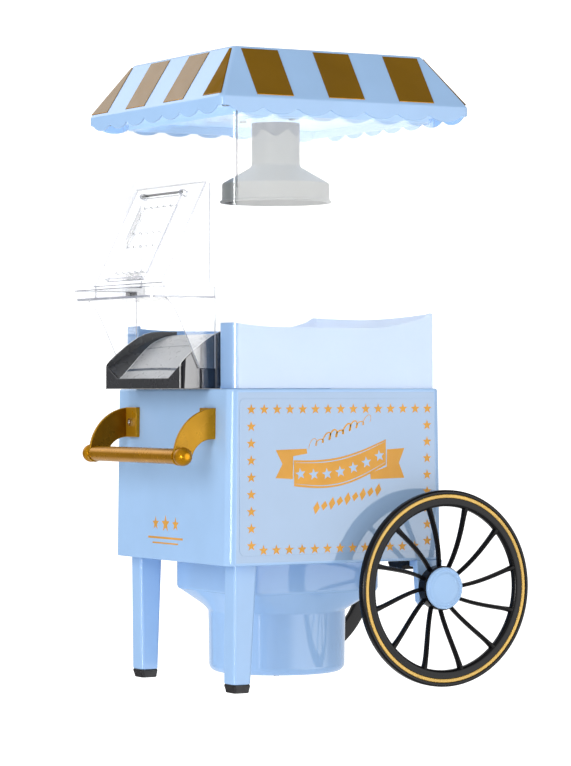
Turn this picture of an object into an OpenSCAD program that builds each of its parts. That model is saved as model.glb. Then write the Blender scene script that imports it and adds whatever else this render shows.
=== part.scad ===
// Hot-air popcorn machine shaped as a small market cart.
// The origin is on the floor, below the middle of the whole outline. +Z is up, the chute and
// the handle face -Y, and the wheels turn about an axle along X.

/* [Body] */
// Width of the body across the wheels' direction
body_w = 178; // [170:1:186]
// Depth of the body at its foot
body_d = 178; // [174:1:182]
// Depth of the body at its deck, smaller because the front and back lean in
deck_d = 174; // [170:1:176]
// Height of the body's underside
body_z = 90; // [88:1:94]
// Height of the deck
deck_z = 214; // [208:1:220]
// Radius of the body's upright corners
body_r = 7.5; // [5:0.5:9]
// Wall of the moulded housings
wall = 2.5; // [2:0.5:3]

/* [Wheels] */
// Outer radius of the wheels
wheel_r = 70.6; // [66:0.2:72]
// Distance of the axle behind the popping axis
axle_back = 77.2; // [74:0.2:80]
// Distance of the wheels' outer face from the middle
wheel_x = 111.5; // [110:0.5:114]
// Thickness of the rim along the axle
rim_t = 6.4; // [5:0.2:8]
// Inner radius of the rim
rim_in = 59; // [56:0.5:61]
// Number of spokes
spokes = 12; // [8:1:14]
// Radius of the stub axles
axle_r = 3; // [2.5:0.1:3.5]

/* [Cabinet] */
// Half width of the clear cabinet at the deck
cab_hx = 88; // [87:0.5:88.5]
// Distance of its front wall from the popping axis
cab_front = 84; // [83:0.5:85]
// Distance of its back wall from the popping axis, at the deck
cab_back = 88; // [87:0.5:88.5]
// Height of the cabinet's top rim
cab_top = 412; // [400:1:414]
// Wall of the clear mouldings
clear_t = 2; // [1.6:0.2:2.2]

/* [Roof] */
// Height of the flat top
roof_top = 455; // [450:1:462]
// Height of the fold between the slopes and the valance
eave_z = 417.5; // [416:0.5:420]
// Half width of the eaves
eave_hx = 104; // [102:0.5:105]
// Half depth of the eaves
eave_hy = 102; // [101:0.5:104]
// Half size of the flat top
crown_h = 79; // [74:1:84]
// Number of scallops along each side
scallops = 7; // [5:1:9]

/* [Chute and door] */
// Half width of the chute over its side walls
chute_hx = 59.5; // [56:0.5:60]
// Distance of the chute's lip from the popping axis
chute_out = 110.6; // [104:0.2:114]
// Distance of the clear shelf's front edge from the popping axis
shelf_out = 136.8; // [132:0.2:142]
// Height of the shelf's rim
shelf_z = 286; // [282:1:290]
// Half width of the slotted flap
flap_hx = 29; // [27:0.5:34]

/* [Popping unit] */
// Radius of the round cup under the body
cup_r = 50.4; // [47:0.2:52]
// Height of the cup's underside
cup_z = 7; // [5:0.5:9]
// Half width of the square well above the cup
well_h = 58; // [54:1:60]
// Outer radius of the aluminium popping chamber
chamber_r = 40; // [36:0.5:40.5]

/* [Hidden] */
$fn = 96;

// Places: the popping axis stands a little in front of the outline's middle
axis_y = (shelf_out - axle_back - wheel_r) / 2;
body_hx = body_w / 2;
body_hy = body_d / 2;
deck_hy = deck_d / 2;
run_gap = 0.05;   // radial play of every shaft in its bore
part_gap = 0.4;   // play between pieces that lift off each other
eps = 0.01;

blue = "#A8C8F0";
gold = "#B07A20";
clear = [0.85, 0.92, 1, 0.3];

// The whole cart is drawn around the popping axis and set in the outline's middle.
module cart() translate([0, axis_y, 0]) children();

// Both sides of the cart from one drawing of the +X side.
module side(left) mirror([left ? 1 : 0, 0, 0]) children();

// Rectangle with round corners, from its two opposite corners.
module round_rect(x0, y0, x1, y1, r) {
  translate([x0 + r, y0]) square([x1 - x0 - 2 * r, y1 - y0]);
  translate([x0, y0 + r]) square([x1 - x0, y1 - y0 - 2 * r]);
  for (x = [x0 + r, x1 - r], y = [y0 + r, y1 - r]) translate([x, y]) circle(r);
}

// Rounded slab, symmetric in x, from a height up.
module slab(x, y0, y1, r, z, h = eps) translate([0, 0, z]) linear_extrude(h)
  round_rect(-x, y0, x, y1, r, $fn = 32);

module screw(r, len, head_r = 0, head_h = 1.8) {
  hr = head_r > 0 ? head_r : 2 * r;
  difference() {
    union() {
      translate([0, 0, -len]) cylinder(r = r, h = len);
      cylinder(r = hr, h = head_h);
    }
    for (a = [0, 90]) rotate(a) translate([-hr * 0.6, -0.4, head_h - 0.8]) cube([hr * 1.2, 0.8, 2]);
  }
}

// ---- Body ----

// Solid block of the body, leaning in at the front and back; inset by t all round.
module body_block(t = 0, top = 0, foot = 0) {
  hull() {
    slab(body_hx - t, t - body_hy, body_hy - t, body_r - t, body_z - foot);
    slab(body_hx - t, t - deck_hy, deck_hy - t, body_r - t, deck_z - top - eps);
  }
}

base_boss = [body_hx - 6.5, 60];            // where the base plate is screwed on
under_at = [[70.5, -71.5], [78, 73], [58, 77.2]];   // screws down into the legs, brackets and stays
seam_y = 76;                                // where the side walls meet the front and the back
switch_at = [45, 150];                      // switch on the back wall: x and height
switch_hx = 7;
switch_hz = 12;
gland_at = [-45, 108];
gland_r = 6;
handle_z = 189.6;
handle_hz = 11;
handle_screw_x = 57;

module body_walls() difference() {
  union() {
    difference() {
      body_block();
      body_block(wall, -1, 1);
    }
    for (x = [-1, 1], y = [-1, 1])
      translate([x * base_boss[0], y * base_boss[1], body_z + 3]) cylinder(r = 4.3, h = 25);
    for (x = [-1, 1])
      translate([x * handle_screw_x, wall - body_hy - 0.5, handle_z]) rotate([-90, 0, 0])
        cylinder(r = 4, h = 10);
  }
  for (x = [-1, 1], y = [-1, 1])
    translate([x * base_boss[0], y * base_boss[1], body_z]) cylinder(r = 1.5, h = 22);
  for (x = [-1, 1])
    translate([x * handle_screw_x, -body_hy - 1, handle_z]) rotate([-90, 0, 0]) cylinder(r = 1.55, h = 12);
  translate([switch_at[0] - switch_hx, body_hy - 10, switch_at[1] - switch_hz])
    cube([2 * switch_hx, 20, 2 * switch_hz]);
  translate([gland_at[0], body_hy - 10, gland_at[1]]) rotate([-90, 0, 0]) cylinder(r = gland_r, h = 20);
}

module body_front() color(blue) cart() intersection() {
  body_walls();
  translate([-100, -seam_y - 30, body_z]) cube([200, 30, 140]);
}
module body_back() color(blue) cart() intersection() {
  body_walls();
  translate([-100, seam_y, body_z]) cube([200, 30, 140]);
}
module body_sides() color(blue) cart() intersection() {
  body_walls();
  translate([-100, -seam_y, body_z]) cube([200, 2 * seam_y, 140]);
}

// Flat deck let into the top of the walls, open over the popping chamber.
module deck_plate() color(blue) cart() difference() {
  deck_in = wall + run_gap;
  slab(body_hx - deck_in, deck_in - deck_hy, deck_hy - deck_in, body_r - wall, deck_z - wall, wall);
  translate([0, 0, deck_z - 10]) cylinder(r = chamber_r + 2, h = 20);
}

module decal(left) color([0.8, 0.87, 0.96]) cart() side(left)
  translate([body_hx, 0, 0]) rotate([90, 0, 90]) linear_extrude(0.4)
    round_rect(-body_hy + 9, body_z + 7, deck_hy - 6, deck_z - 7, 4);
module decal_left() decal(true);
module decal_right() decal(false);

// ---- Well under the body ----

well_z = 66.5;        // underside of the square well
funnel_z = 51.5;      // where the funnel meets the cup
cup_edge = 6;
inlet_r = 36;
mount_at = cup_r - 5.5;    // radius of the bosses that carry the motor

// Solid of the well; grown inward by t.
module well_block(t, lift) {
  translate([0, 0, well_z + lift]) linear_extrude(body_z + 8 - well_z)
    round_rect(t - well_h, t - well_h, well_h - t, well_h - t, 14 - t);
  hull() {
    slab(well_h - t, t - well_h, well_h - t, 14 - t, well_z + lift);
    translate([0, 0, funnel_z + lift]) cylinder(r = cup_r - t, h = eps, $fn = 64);
  }
  translate([0, 0, cup_z + lift]) rotate_extrude() union() {
    square([cup_r - cup_edge, cup_edge]);
    translate([0, cup_edge]) square([cup_r - t, funnel_z - cup_z - cup_edge]);
    intersection() {
      translate([cup_r - cup_edge - t, cup_edge]) circle(cup_edge);
      translate([cup_r - cup_edge - t - 1, 0]) square([cup_edge + 1, cup_edge]);
    }
  }
}

module base_housing() color(blue) cart() difference() {
  union() {
    difference() {
      intersection() {
        well_block(0, 0);
        translate([-90, -90, 0]) cube([180, 180, body_z + 3]);
      }
      well_block(2, 2);
    }
    for (a = [0:2]) rotate(120 * a + 30) translate([mount_at, 0, cup_z + 1.9])
      cylinder(r = 3.4, h = motor_z + motor_h - cup_z - 1.9);
  }
  translate([0, 0, cup_z - 1]) cylinder(r = inlet_r, h = 5);
  for (a = [0:2]) rotate(120 * a + 30) translate([mount_at, 0, cup_z + 26]) cylinder(r = 1.25, h = 12);
  for (a = [0:2]) rotate(120 * a + 90) translate([inlet_r + 1.8, 0, cup_z - 1]) cylinder(r = 0.9, h = 5);
}

// Floor of the body around the well.
module base_plate() color(blue) cart() difference() {
  slab(body_hx - wall - 0.3, wall + 0.3 - body_hy, body_hy - wall - 0.3, body_r - wall, body_z, 3);
  translate([0, 0, body_z - 1]) linear_extrude(5)
    round_rect(-well_h - run_gap, -well_h - run_gap, well_h + run_gap, well_h + run_gap, 14);
  for (x = [-1, 1], y = [-1, 1]) translate([x * base_boss[0], y * base_boss[1], body_z - 1]) {
    cylinder(r = 1.7, h = 6);
    cylinder(r = 3.3, h = 3);
  }
  for (x = [-1, 1], p = under_at) translate([x * p[0], p[1], body_z - 1]) cylinder(r = 1.5, h = 6);
}

module inlet_grille() color("#30343A") cart() translate([0, 0, cup_z + 2]) difference() {
  cylinder(r = inlet_r + 3.4, h = 1.6);
  for (r = [8:6:32]) difference() {
    rotate_extrude() translate([r, -1]) square([3.4, 4]);
    for (a = [0:45:135]) rotate(a) translate([-40, -1.5, -1]) cube([80, 3, 4]);
  }
  for (a = [0:2]) rotate(120 * a + 90) translate([inlet_r + 1.8, 0, -1]) cylinder(r = 0.9, h = 4);
}

module grille_screws() color("#9A9A9A") cart()
  for (a = [0:2]) rotate(120 * a + 90) translate([inlet_r + 1.8, 0, cup_z]) mirror([0, 0, 1])
    screw(0.9, 3.4, 1.8, 1);

module base_screws() color("#9A9A9A") cart()
  for (x = [-1, 1], y = [-1, 1]) translate([x * base_boss[0], y * base_boss[1], body_z + 2])
    mirror([0, 0, 1]) screw(1.5, 16, 3);

// ---- Legs and axle ----

foot_h = 6;

module leg(left) color(blue) cart() side(left) difference() {
  hull() {
    translate([65, -79.3, body_z - eps]) cube([15.5, 18.5, eps]);
    translate([63, -79.3, foot_h]) cube([16, 14.1, eps]);
  }
  translate([under_at[0][0], under_at[0][1], body_z - 14]) cylinder(r = 1.5, h = 20);
}
module leg_left() leg(true);
module leg_right() leg(false);

module foot(left) color("#15161A") cart() side(left) hull() {
  translate([63.9, -78.3, 0]) cube([14.1, 12.3, eps]);
  translate([63, -79.3, foot_h - eps]) cube([16, 14.1, eps]);
}
module foot_left() foot(true);
module foot_right() foot(false);

post_x = 82;
post_out = 88.6;
post_z = 57.5;
boss_x = 77;

// Plate flush with the body's side: it carries the stub axle and hangs from a pad under the floor.
module axle_bracket(left) color(blue) cart() side(left) difference() {
  union() {
    translate([post_x, 0, 0]) rotate([90, 0, 90]) linear_extrude(post_out - post_x)
      polygon([[axle_back - 11, body_z], [axle_back + 10.6, body_z],
        [axle_back + 9, post_z], [axle_back - 8.4, post_z]]);
    translate([boss_x, axle_back, wheel_r]) rotate([0, 90, 0]) cylinder(r = 6, h = post_x - boss_x + 1);
    translate([boss_x - 2, axle_back - 9, body_z - 5]) cube([post_x - boss_x + 3, 16, 5]);
  }
  translate([0, axle_back, wheel_r]) rotate([0, 90, 0]) cylinder(r = axle_r + run_gap, h = 100);
  translate([under_at[1][0], under_at[1][1], body_z - 8]) cylinder(r = 1.5, h = 10);
}
module axle_bracket_left() axle_bracket(true);
module axle_bracket_right() axle_bracket(false);

// Dark stay screwed to the floor beside each bracket.
module wheel_stay(left) color("#17181B") cart() side(left) difference() {
  translate([0, axle_back + 6, 0]) rotate([90, 0, 0]) linear_extrude(13)
    polygon([[44, body_z], [72, body_z], [70, body_z - 4.4], [62, body_z - 5.2],
      [61, body_z - 8], [45, body_z - 8], [42, body_z - 4]]);
  translate([under_at[2][0], under_at[2][1], body_z - 6.6]) cylinder(r = 1.5, h = 8);
}
module wheel_stay_left() wheel_stay(true);
module wheel_stay_right() wheel_stay(false);

module leg_screws() color("#9A9A9A") cart()
  for (x = [-1, 1], p = under_at) translate([x * p[0], p[1], body_z + 3]) screw(1.5, 9.5, 3);

hub_face = wheel_x - 4.5;     // where the hub's barrel meets its cap
axle_end = hub_face - 1.2;
clip_x = hub_face - 3.2;

module axle() color("#B8BCC0") cart() for (s = [0, 1]) mirror([s, 0, 0])
  translate([0, axle_back, wheel_r]) rotate([0, 90, 0]) difference() {
    translate([0, 0, boss_x]) cylinder(r = axle_r, h = axle_end - boss_x);
    translate([0, 0, clip_x - 0.1]) difference() {
      cylinder(r = axle_r + 1, h = 1);
      translate([0, 0, -1]) cylinder(r = axle_r - 0.5, h = 3);
    }
  }

module axle_clips() color("#B8BCC0") cart() for (s = [0, 1]) mirror([s, 0, 0])
  translate([clip_x, axle_back, wheel_r]) rotate([0, 90, 0]) difference() {
    cylinder(r = 6, h = 0.8);
    translate([0, 0, -1]) cylinder(r = axle_r - 0.45, h = 3);
    translate([-1.5, 0, -1]) cube([3, 10, 3]);
  }

// ---- Wheels ----

hub_r = 16;
hub_in = 97.5;
hub_well = 9.5;       // recess in the barrel's face, around the axle's end
cap_r = 15.6;
spoke_r = 2.1;

module wheel_ring(r0, r1, x0, x1, round = 1) translate([x0, 0, 0]) rotate([0, 90, 0])
  rotate_extrude() round_rect(r0, 0, r1, x1 - x0, round, $fn = 24);

// One spoke from the hub to the rim: it leans outward and trails a little.
module spoke(a) {
  lag = 9;
  hub = [hub_in + 3.5, 14.5 * cos(a - lag), 14.5 * sin(a - lag)];
  rim = [wheel_x - rim_t / 2, (rim_in + 1) * cos(a), (rim_in + 1) * sin(a)];
  d = rim - hub;
  len = norm(d);
  translate(hub) rotate([0, acos(d[2] / len), atan2(d[1], d[0])]) cylinder(r = spoke_r, h = len, $fn = 24);
}

module wheel(left) color("#17181B") cart() side(left) translate([0, axle_back, wheel_r]) difference() {
  union() {
    wheel_ring(rim_in, wheel_r, wheel_x - rim_t, wheel_x, 2);
    translate([hub_in, 0, 0]) rotate([0, 90, 0]) cylinder(r = hub_r, h = hub_face - hub_in);
    for (i = [0:spokes - 1]) spoke(360 / spokes * (i + 0.44));
  }
  rotate([0, 90, 0]) cylinder(r = axle_r + run_gap, h = 200);
  translate([hub_face - 3.6, 0, 0]) rotate([0, 90, 0]) cylinder(r = hub_well, h = 20);
}
module wheel_left() wheel(true);
module wheel_right() wheel(false);

// Shallow domed cap with a ring that plugs into the barrel.
module hub_cap(left) color(blue) cart() side(left) translate([0, axle_back, wheel_r]) rotate([0, 90, 0])
  rotate_extrude() translate([0, hub_face]) {
    square([cap_r, 1.2]);
    intersection() {
      translate([0, 4 - 40]) circle(40, $fn = 200);
      square([cap_r, 5]);
    }
    translate([hub_well - 2, -2]) square([1.5, 2.2]);
  }
module hub_cap_left() hub_cap(true);
module hub_cap_right() hub_cap(false);

// ---- Handle ----

bar_r = 5.5;
bar_y = -115.8;
bar_z = 166.8;
ball_r = 6.6;
plate_x = 65.5;
plate_t = 2.5;

// Quarter arc from the body's face down to the bar.
module handle_arc() {
  top = handle_z + handle_hz;
  inner_r = 16.5;
  intersection() {
    difference() {
      translate([-86.5, bar_z]) circle(top - bar_z);
      translate([-90, handle_z - handle_hz - inner_r]) circle(inner_r);
    }
    translate([-144, bar_z - 1]) square([60, 60]);
  }
  translate([bar_y, bar_z]) circle(bar_r + 1.5);
  translate([-92, handle_z - handle_hz]) square([8, 2 * handle_hz]);
}

module handle_bracket(left) color(gold) cart() side(left) difference() {
  union() {
    translate([plate_x, 0, 0]) rotate([90, 0, 90]) linear_extrude(plate_t) handle_arc();
    translate([49.5, -body_hy - 1.6, handle_z - handle_hz]) cube([plate_x - 49.5 + 1, 6, 2 * handle_hz]);
  }
  body_block();
  translate([handle_screw_x, -body_hy - 5, handle_z]) rotate([-90, 0, 0]) cylinder(r = 1.5, h = 12);
  translate([0, bar_y, bar_z]) rotate([0, 90, 0]) cylinder(r = 3, h = 100);
}
module handle_bracket_left() handle_bracket(true);
module handle_bracket_right() handle_bracket(false);

module handle_bar() color(gold) cart() translate([0, bar_y, bar_z]) {
  rotate([0, 90, 0]) translate([0, 0, -plate_x]) cylinder(r = bar_r, h = 2 * plate_x);
  rotate([0, 90, 0]) translate([0, 0, -plate_x - 4]) cylinder(r = 3, h = 2 * plate_x + 8);
  for (s = [-1, 1]) difference() {
    translate([s * (plate_x + plate_t + 4.5), 0, 0]) sphere(ball_r);
    translate([s * (plate_x + plate_t - 10), 0, 0]) cube([20, 20, 20], center = true);
  }
}

module handle_screws() color("#E0E0E0") cart() for (s = [-1, 1])
  translate([s * handle_screw_x, -body_hy - 1.6, handle_z]) rotate([90, 0, 0]) screw(1.5, 10, 3);

// ---- Popping unit ----

collar_z = deck_z + 3.2;
chamber_z = 132;
duct_r = 45;
duct_z = 66;

module popping_chamber() color("#C8CCD0") cart() difference() {
  rotate_extrude() difference() {
    union() {
      translate([0, chamber_z]) square([chamber_r, collar_z - chamber_z]);
      translate([0, collar_z - 1.2]) square([chamber_r + 6, 1.2]);
    }
    translate([-1, chamber_z + 1.2]) square([chamber_r - 0.2, 100]);
  }
  for (a = [0:20:340]) rotate(a) translate([chamber_r - 4, -1, chamber_z + 6]) rotate([0, 0, 35])
    cube([8, 2.2, 14]);
}

module chamber_collar() color("#E6EAEF") cart() rotate_extrude() difference() {
  translate([chamber_r - 2, collar_z]) square([10, 5]);
  translate([chamber_r + 8, collar_z + 5]) rotate(45) square(5, center = true);
}

module heater_housing() color("#6A5A48") cart() difference() {
  union() {
    translate([0, 0, duct_z]) cylinder(r = duct_r, h = deck_z - wall - duct_z);
    translate([0, 0, deck_z - wall - 2]) cylinder(r = duct_r + 7, h = 2);
    translate([0, 0, duct_z]) cylinder(r = duct_r + 5, h = 2);
  }
  translate([0, 0, duct_z - 1]) cylinder(r = duct_r - 2, h = deck_z);
}

former_z = 72;
former_h = 46;
coil_r = 33;

module heater_former() color("#D8CDB0") cart() {
  for (a = [0, 60, 120]) rotate(a) translate([-31, -0.5, former_z]) cube([62, 1, former_h]);
  translate([0, 0, former_z + former_h - eps]) cylinder(r = 42.5, h = 1);
}

// Round wire that climbs as a helix: rings of six points joined in order.
module helix(r, wire, pitch, turns, steps = 24, sides = 6) {
  count = turns * steps;
  points = [for (i = [0:count], j = [0:sides - 1])
    let (a = 360 * i / steps, b = 360 * j / sides)
      [(r + wire * cos(b)) * cos(a), (r + wire * cos(b)) * sin(a), pitch * i / steps + wire * sin(b)]];
  walls = [for (i = [0:count - 1], j = [0:sides - 1])
    let (k = (j + 1) % sides) [i * sides + j, i * sides + k, (i + 1) * sides + k, (i + 1) * sides + j]];
  tris = [for (w = walls) each [[w[0], w[2], w[1]], [w[0], w[3], w[2]]]];
  first = [for (j = [0:sides - 1]) j];
  last = [for (j = [sides - 1:-1:0]) count * sides + j];
  polyhedron(points, concat(tris, [first], [last]));
}

module heater_coil() color("#8C8F94") cart() translate([0, 0, former_z + 4]) helix(coil_r, 0.9, 7.5, 5);

module thermostat() color("#2A2A2E") cart() translate([20, 0, former_z + former_h + 1 - eps]) {
  cylinder(r = 8, h = 6);
  translate([-11, -3, 0]) cube([22, 6, 1]);
}

module thermal_fuse() color("#C8A040") cart()
  translate([-20, -9, former_z + former_h + 3.4]) rotate([-90, 0, 0]) {
    cylinder(r = 2.2, h = 11);
    translate([0, 0, -4]) cylinder(r = 0.5, h = 19);
    for (y = [-4, 15]) translate([-0.5, -0.01, y - 0.5]) cube([1, 2.4, 1]);
  }

motor_z = 17;
motor_h = 25;
motor_r = 14;
shaft_r = 1.5;

module motor() color("#A8ACB0") cart() translate([0, 0, motor_z]) difference() {
  union() {
    cylinder(r = motor_r, h = motor_h);
    translate([0, 0, motor_h]) cylinder(r = 5, h = 2);
    translate([0, 0, -1.5]) cylinder(r = 4.5, h = 2);
  }
  translate([0, 0, 2]) cylinder(r = shaft_r + run_gap, h = 60);
  for (s = [-1, 1]) translate([s * 8.5, 0, motor_h - 5]) cylinder(r = 1.2, h = 10);
}

module motor_shaft() color("#C0C4C8") cart() translate([0, 0, motor_z + 2 + part_gap])
  cylinder(r = shaft_r, h = 41);

module motor_mount() color("#D8DCE0") cart() translate([0, 0, motor_z + motor_h]) difference() {
  union() {
    cylinder(r = motor_r + 2, h = 1.6);
    difference() {
      cylinder(r = cup_r - 2.6, h = 1.6);
      translate([0, 0, -1]) cylinder(r = cup_r - 10.5, h = 4);
    }
    for (a = [0:2]) rotate(120 * a + 30) translate([0, -3, 0]) cube([cup_r - 6, 6, 1.6]);
  }
  translate([0, 0, -1]) cylinder(r = 5.1, h = 4);
  for (s = [-1, 1]) translate([s * 8.5, 0, -1]) cylinder(r = 1.2, h = 4);
  for (a = [0:2]) rotate(120 * a + 30) translate([mount_at, 0, -1]) cylinder(r = 1.25, h = 4);
}

module motor_screws() color("#9A9A9A") cart() translate([0, 0, motor_z + motor_h + 1.6]) {
  for (s = [-1, 1]) translate([s * 8.5, 0, 0]) screw(1.2, 5, 2, 1);
  for (a = [0:2]) rotate(120 * a + 30) translate([mount_at, 0, 0]) screw(1.25, 8, 2.4, 1);
}

fan_z = 47;
fan_r = 38;

module fan_impeller() color("#33363B") cart() translate([0, 0, fan_z]) difference() {
  union() {
    cylinder(r = fan_r, h = 1.4);
    cylinder(r = 6, h = 12);
    for (a = [0:36:324]) rotate(a) translate([12, 0, 0]) rotate(-20) translate([0, -0.6, 0])
      cube([26, 1.2, 11]);
  }
  translate([0, 0, -1]) cylinder(r = shaft_r, h = 20);
}

module diode_board() color("#3A7A4A") cart() translate([0, 0, motor_z - 4]) {
  translate([-11, -11, 0]) cube([22, 22, 1.2]);
  for (x = [-7, -2.5, 2.5, 7]) translate([x, -7, -0.6]) rotate([-90, 0, 0]) cylinder(r = 1.3, h = 6);
  translate([0, 0, 1.1]) cylinder(r = 3, h = 1.4);
}

// ---- Switch and cord inlet on the back ----

// Where the back wall stands at a given height.
function back_at(z) = body_hy - (body_hy - deck_hy) * (z - body_z) / (deck_z - body_z);

rocker_off = -9;      // the rocker rests tipped to its off side
rocker_y = back_at(switch_at[1]) - 2.5;

module switch_housing() color("#1B1C20") cart()
  translate([switch_at[0], back_at(switch_at[1]), switch_at[1]]) difference() {
    union() {
      translate([-switch_hx + 0.1, -15, -switch_hz + 0.1])
        cube([2 * switch_hx - 0.2, 16, 2 * switch_hz - 0.2]);
      translate([-switch_hx - 2, 0.25, -switch_hz - 2]) cube([2 * switch_hx + 4, 1.6, 2 * switch_hz + 4]);
    }
    translate([-5.4, -11, -10.4]) cube([10.8, 20, 20.8]);
    translate([-6.2, -2.5, 0]) rotate([0, 90, 0]) cylinder(r = 1.25, h = 12.4);
  }

module switch_rocker() color("#C02020") cart() translate([switch_at[0], rocker_y, switch_at[1]])
  rotate([rocker_off, 0, 0]) {
    translate([-5, 0, 0]) rotate([90, 0, 90]) linear_extrude(10)
      polygon([[-5, -4], [3.4, -9.2], [5.6, -9], [4.2, 0], [5.6, 9], [3.4, 9.2], [-5, 4]]);
    translate([-6, 0, 0]) rotate([0, 90, 0]) cylinder(r = 1.2, h = 12);
  }

module cord_gland() color("#1B1C20") cart() translate([gland_at[0], back_at(gland_at[1]), gland_at[1]])
  rotate([-90, 0, 0]) difference() {
    union() {
      translate([0, 0, -7]) cylinder(r = gland_r - 0.1, h = 9);
      translate([0, 0, 0.2]) cylinder(r = gland_r + 2.5, h = 1.6);
      translate([0, 0, -7]) cylinder(r = gland_r + 1.2, h = 3);
    }
    translate([0, 0, -10]) cylinder(r = 3.4, h = 20);
  }

// ---- Liner tub on the deck ----

tub_hx = cab_hx - clear_t - 1;
tub_front = cab_front - clear_t - 0.8;
tub_back = cab_back - clear_t - 1.4;
tub_t = 2;

// Top edge of the tub's side walls: it sags in the middle and sweeps up to the back.
function tub_edge(y) =
  let (u = (y + tub_front) / (tub_front + tub_back))
    deck_z + 43.6 + 3 * pow(max(0, 1 - 4 * u), 2)
      + 11 * pow(max(0, (u - 0.66) / 0.34), 2) * (1.6 - 0.6 * u);

// Top edge of the back wall: a shallow sag between its corners.
function tub_back_edge(x) = deck_z + 54.6 - 3 * cos(90 * x / tub_hx);

module tub_side_cut() translate([-200, 0, 0]) rotate([90, 0, 90]) linear_extrude(400)
  polygon(concat([for (i = [0:30])
    let (y = -tub_front - 1 + i * (tub_front + tub_back - 2) / 30) [y, tub_edge(y)]],
    [[tub_back - 3, 300], [-tub_front - 1, 300]]));

module tub_back_cut() translate([0, tub_back + 5, 0]) rotate([90, 0, 0]) linear_extrude(10)
  polygon(concat([for (i = [-12:12]) [tub_hx * i / 12, tub_back_edge(tub_hx * i / 12)]],
    [[tub_hx, 300], [-tub_hx, 300]]));

module liner_tub() color(blue) cart() difference() {
  translate([0, 0, deck_z]) linear_extrude(58) round_rect(-tub_hx, -tub_front, tub_hx, tub_back, 5);
  translate([0, 0, deck_z + tub_t]) linear_extrude(80)
    round_rect(-tub_hx + tub_t, -tub_front + tub_t, tub_hx - tub_t, tub_back - tub_t, 3);
  tub_side_cut();
  tub_back_cut();
  translate([0, 0, deck_z - 1]) cylinder(r = chamber_r + 2, h = 10);
  translate([-chute_hx - 0.5, -tub_front - 10, deck_z - 1]) cube([2 * chute_hx + 1, 44, 80]);
}

// ---- Chute ----

chute_back = 52;
chute_t = 2;

// Top edge of the chute's side walls, from the upright lip to the level back.
function chute_edge(u) =
  [-chute_out + (chute_out - 60) * (1 - cos(90 * u)), deck_z + 15.5 + 26 * sin(90 * u)];

// The ramp climbs from behind the lip to the back edge.
function ramp(u) =
  [-chute_out + 1 + (chute_out - chute_back - 1) * u, deck_z + 7 + 33 * pow(sin(90 * u), 1.15)];

module chute_side() {
  polygon(concat([[-chute_out, deck_z]], [for (i = [0:14]) chute_edge(i / 14)],
    [[-chute_back, deck_z + 41.5], [-chute_back, deck_z]]));
}

module chute() color("#B8BABD") cart() difference() {
  union() {
    for (s = [0, 1]) mirror([s, 0, 0]) translate([chute_hx - chute_t, 0, 0]) rotate([90, 0, 90])
      linear_extrude(chute_t) chute_side();
    translate([-chute_hx + 1, 0, 0]) rotate([90, 0, 90]) linear_extrude(2 * chute_hx - 2)
      polygon(concat([for (i = [0:14]) ramp(i / 14)], [for (i = [14:-1:0]) ramp(i / 14) + [0.8, -1.8]]));
    translate([-chute_hx, -chute_out, deck_z]) cube([2 * chute_hx, chute_t, 8]);
    translate([-chute_hx, -chute_out, deck_z + part_gap]) cube([2 * chute_hx, 34, 1.6]);
  }
}

// ---- Clear cabinet ----

cab_z = deck_z + part_gap;
mouth_hx = chute_hx + 1.3;
mouth_top = 355;
mouth_upper_hx = 51;

// Solid of the cabinet: its walls lean in slightly; inset by t.
cab_r = 4;                                  // upright corners of the clear cabinet

module cabinet_block(t, over = 0) hull() {
  slab(cab_hx - t, t - cab_front, cab_back - t, cab_r - t / 2, cab_z - over);
  slab(cab_hx - 1.5 - t, t - cab_front + 0.6, cab_back - 3 - t, cab_r - t / 2, cab_top + over);
}

module cabinet() color(clear) cart() difference() {
  cabinet_block(0);
  cabinet_block(clear_t, 1);
  translate([-mouth_hx, -cab_front - 5, cab_z - 2]) cube([2 * mouth_hx, 20, shelf_z - shelf_h - cab_z + 2]);
  translate([-mouth_upper_hx, -cab_front - 5, cab_z]) cube([2 * mouth_upper_hx, 20, mouth_top - cab_z]);
}

// ---- Door unit on the cabinet's front ----

shelf_hx = 62;
shelf_h = 8;
rim_w = 1.8;
panel_hx = 54;
panel_foot = [-122, shelf_z + 2.5];
panel_head = [-cab_front - 2.6, 360];
panel_dir = (panel_head - panel_foot) / norm(panel_head - panel_foot);
panel_len = norm(panel_head - panel_foot);
panel_lean = atan2(panel_dir[1], panel_dir[0]);

module door_shelf() color(clear) cart() {
  translate([0, 0, shelf_z - shelf_h]) difference() {
    linear_extrude(shelf_h) intersection() {
      round_rect(-shelf_hx, -shelf_out, shelf_hx, 0, 7);
      translate([-100, -200]) square([200, 200 - cab_front]);
    }
    translate([0, 0, rim_w]) linear_extrude(shelf_h) intersection() {
      round_rect(-shelf_hx + rim_w, -shelf_out + rim_w, shelf_hx - rim_w, 0, 5.2);
      translate([-100, -200]) square([200, 200 - cab_front - rim_w]);
    }
  }
  for (s = [0, 1]) mirror([s, 0, 0]) translate([shelf_hx - rim_w, 0, 0]) rotate([90, 0, 90])
    linear_extrude(rim_w) bracket_side();
}

// Curved cheek below the shelf: it narrows from the shelf's front down to the chute.
cheek_z = 228.5;
function cheek(u) =
  [-cab_front - 12.3 - 22.6 * u - 4.1 * pow(u, 10), cheek_z + (shelf_z - shelf_h - cheek_z) * u];

module bracket_side() polygon(concat([for (i = [0:16]) cheek(i / 16)],
  [[-124, shelf_z - shelf_h], [-124, shelf_z - shelf_h + 1], [-cab_front, shelf_z - shelf_h + 1],
    [-cab_front, cheek_z]]));

panel_t = 1.8;
window_hx = flap_hx - 4;
pin_r = 0.9;
knuckle_r = 1.9;
hinge_s = 71.5;                             // hinge axis, measured up the panel
hinge_n = panel_t + knuckle_r + 0.5;        // and out from its back face
flap_n = panel_t + part_gap;                // back face of the closed flap

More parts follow.
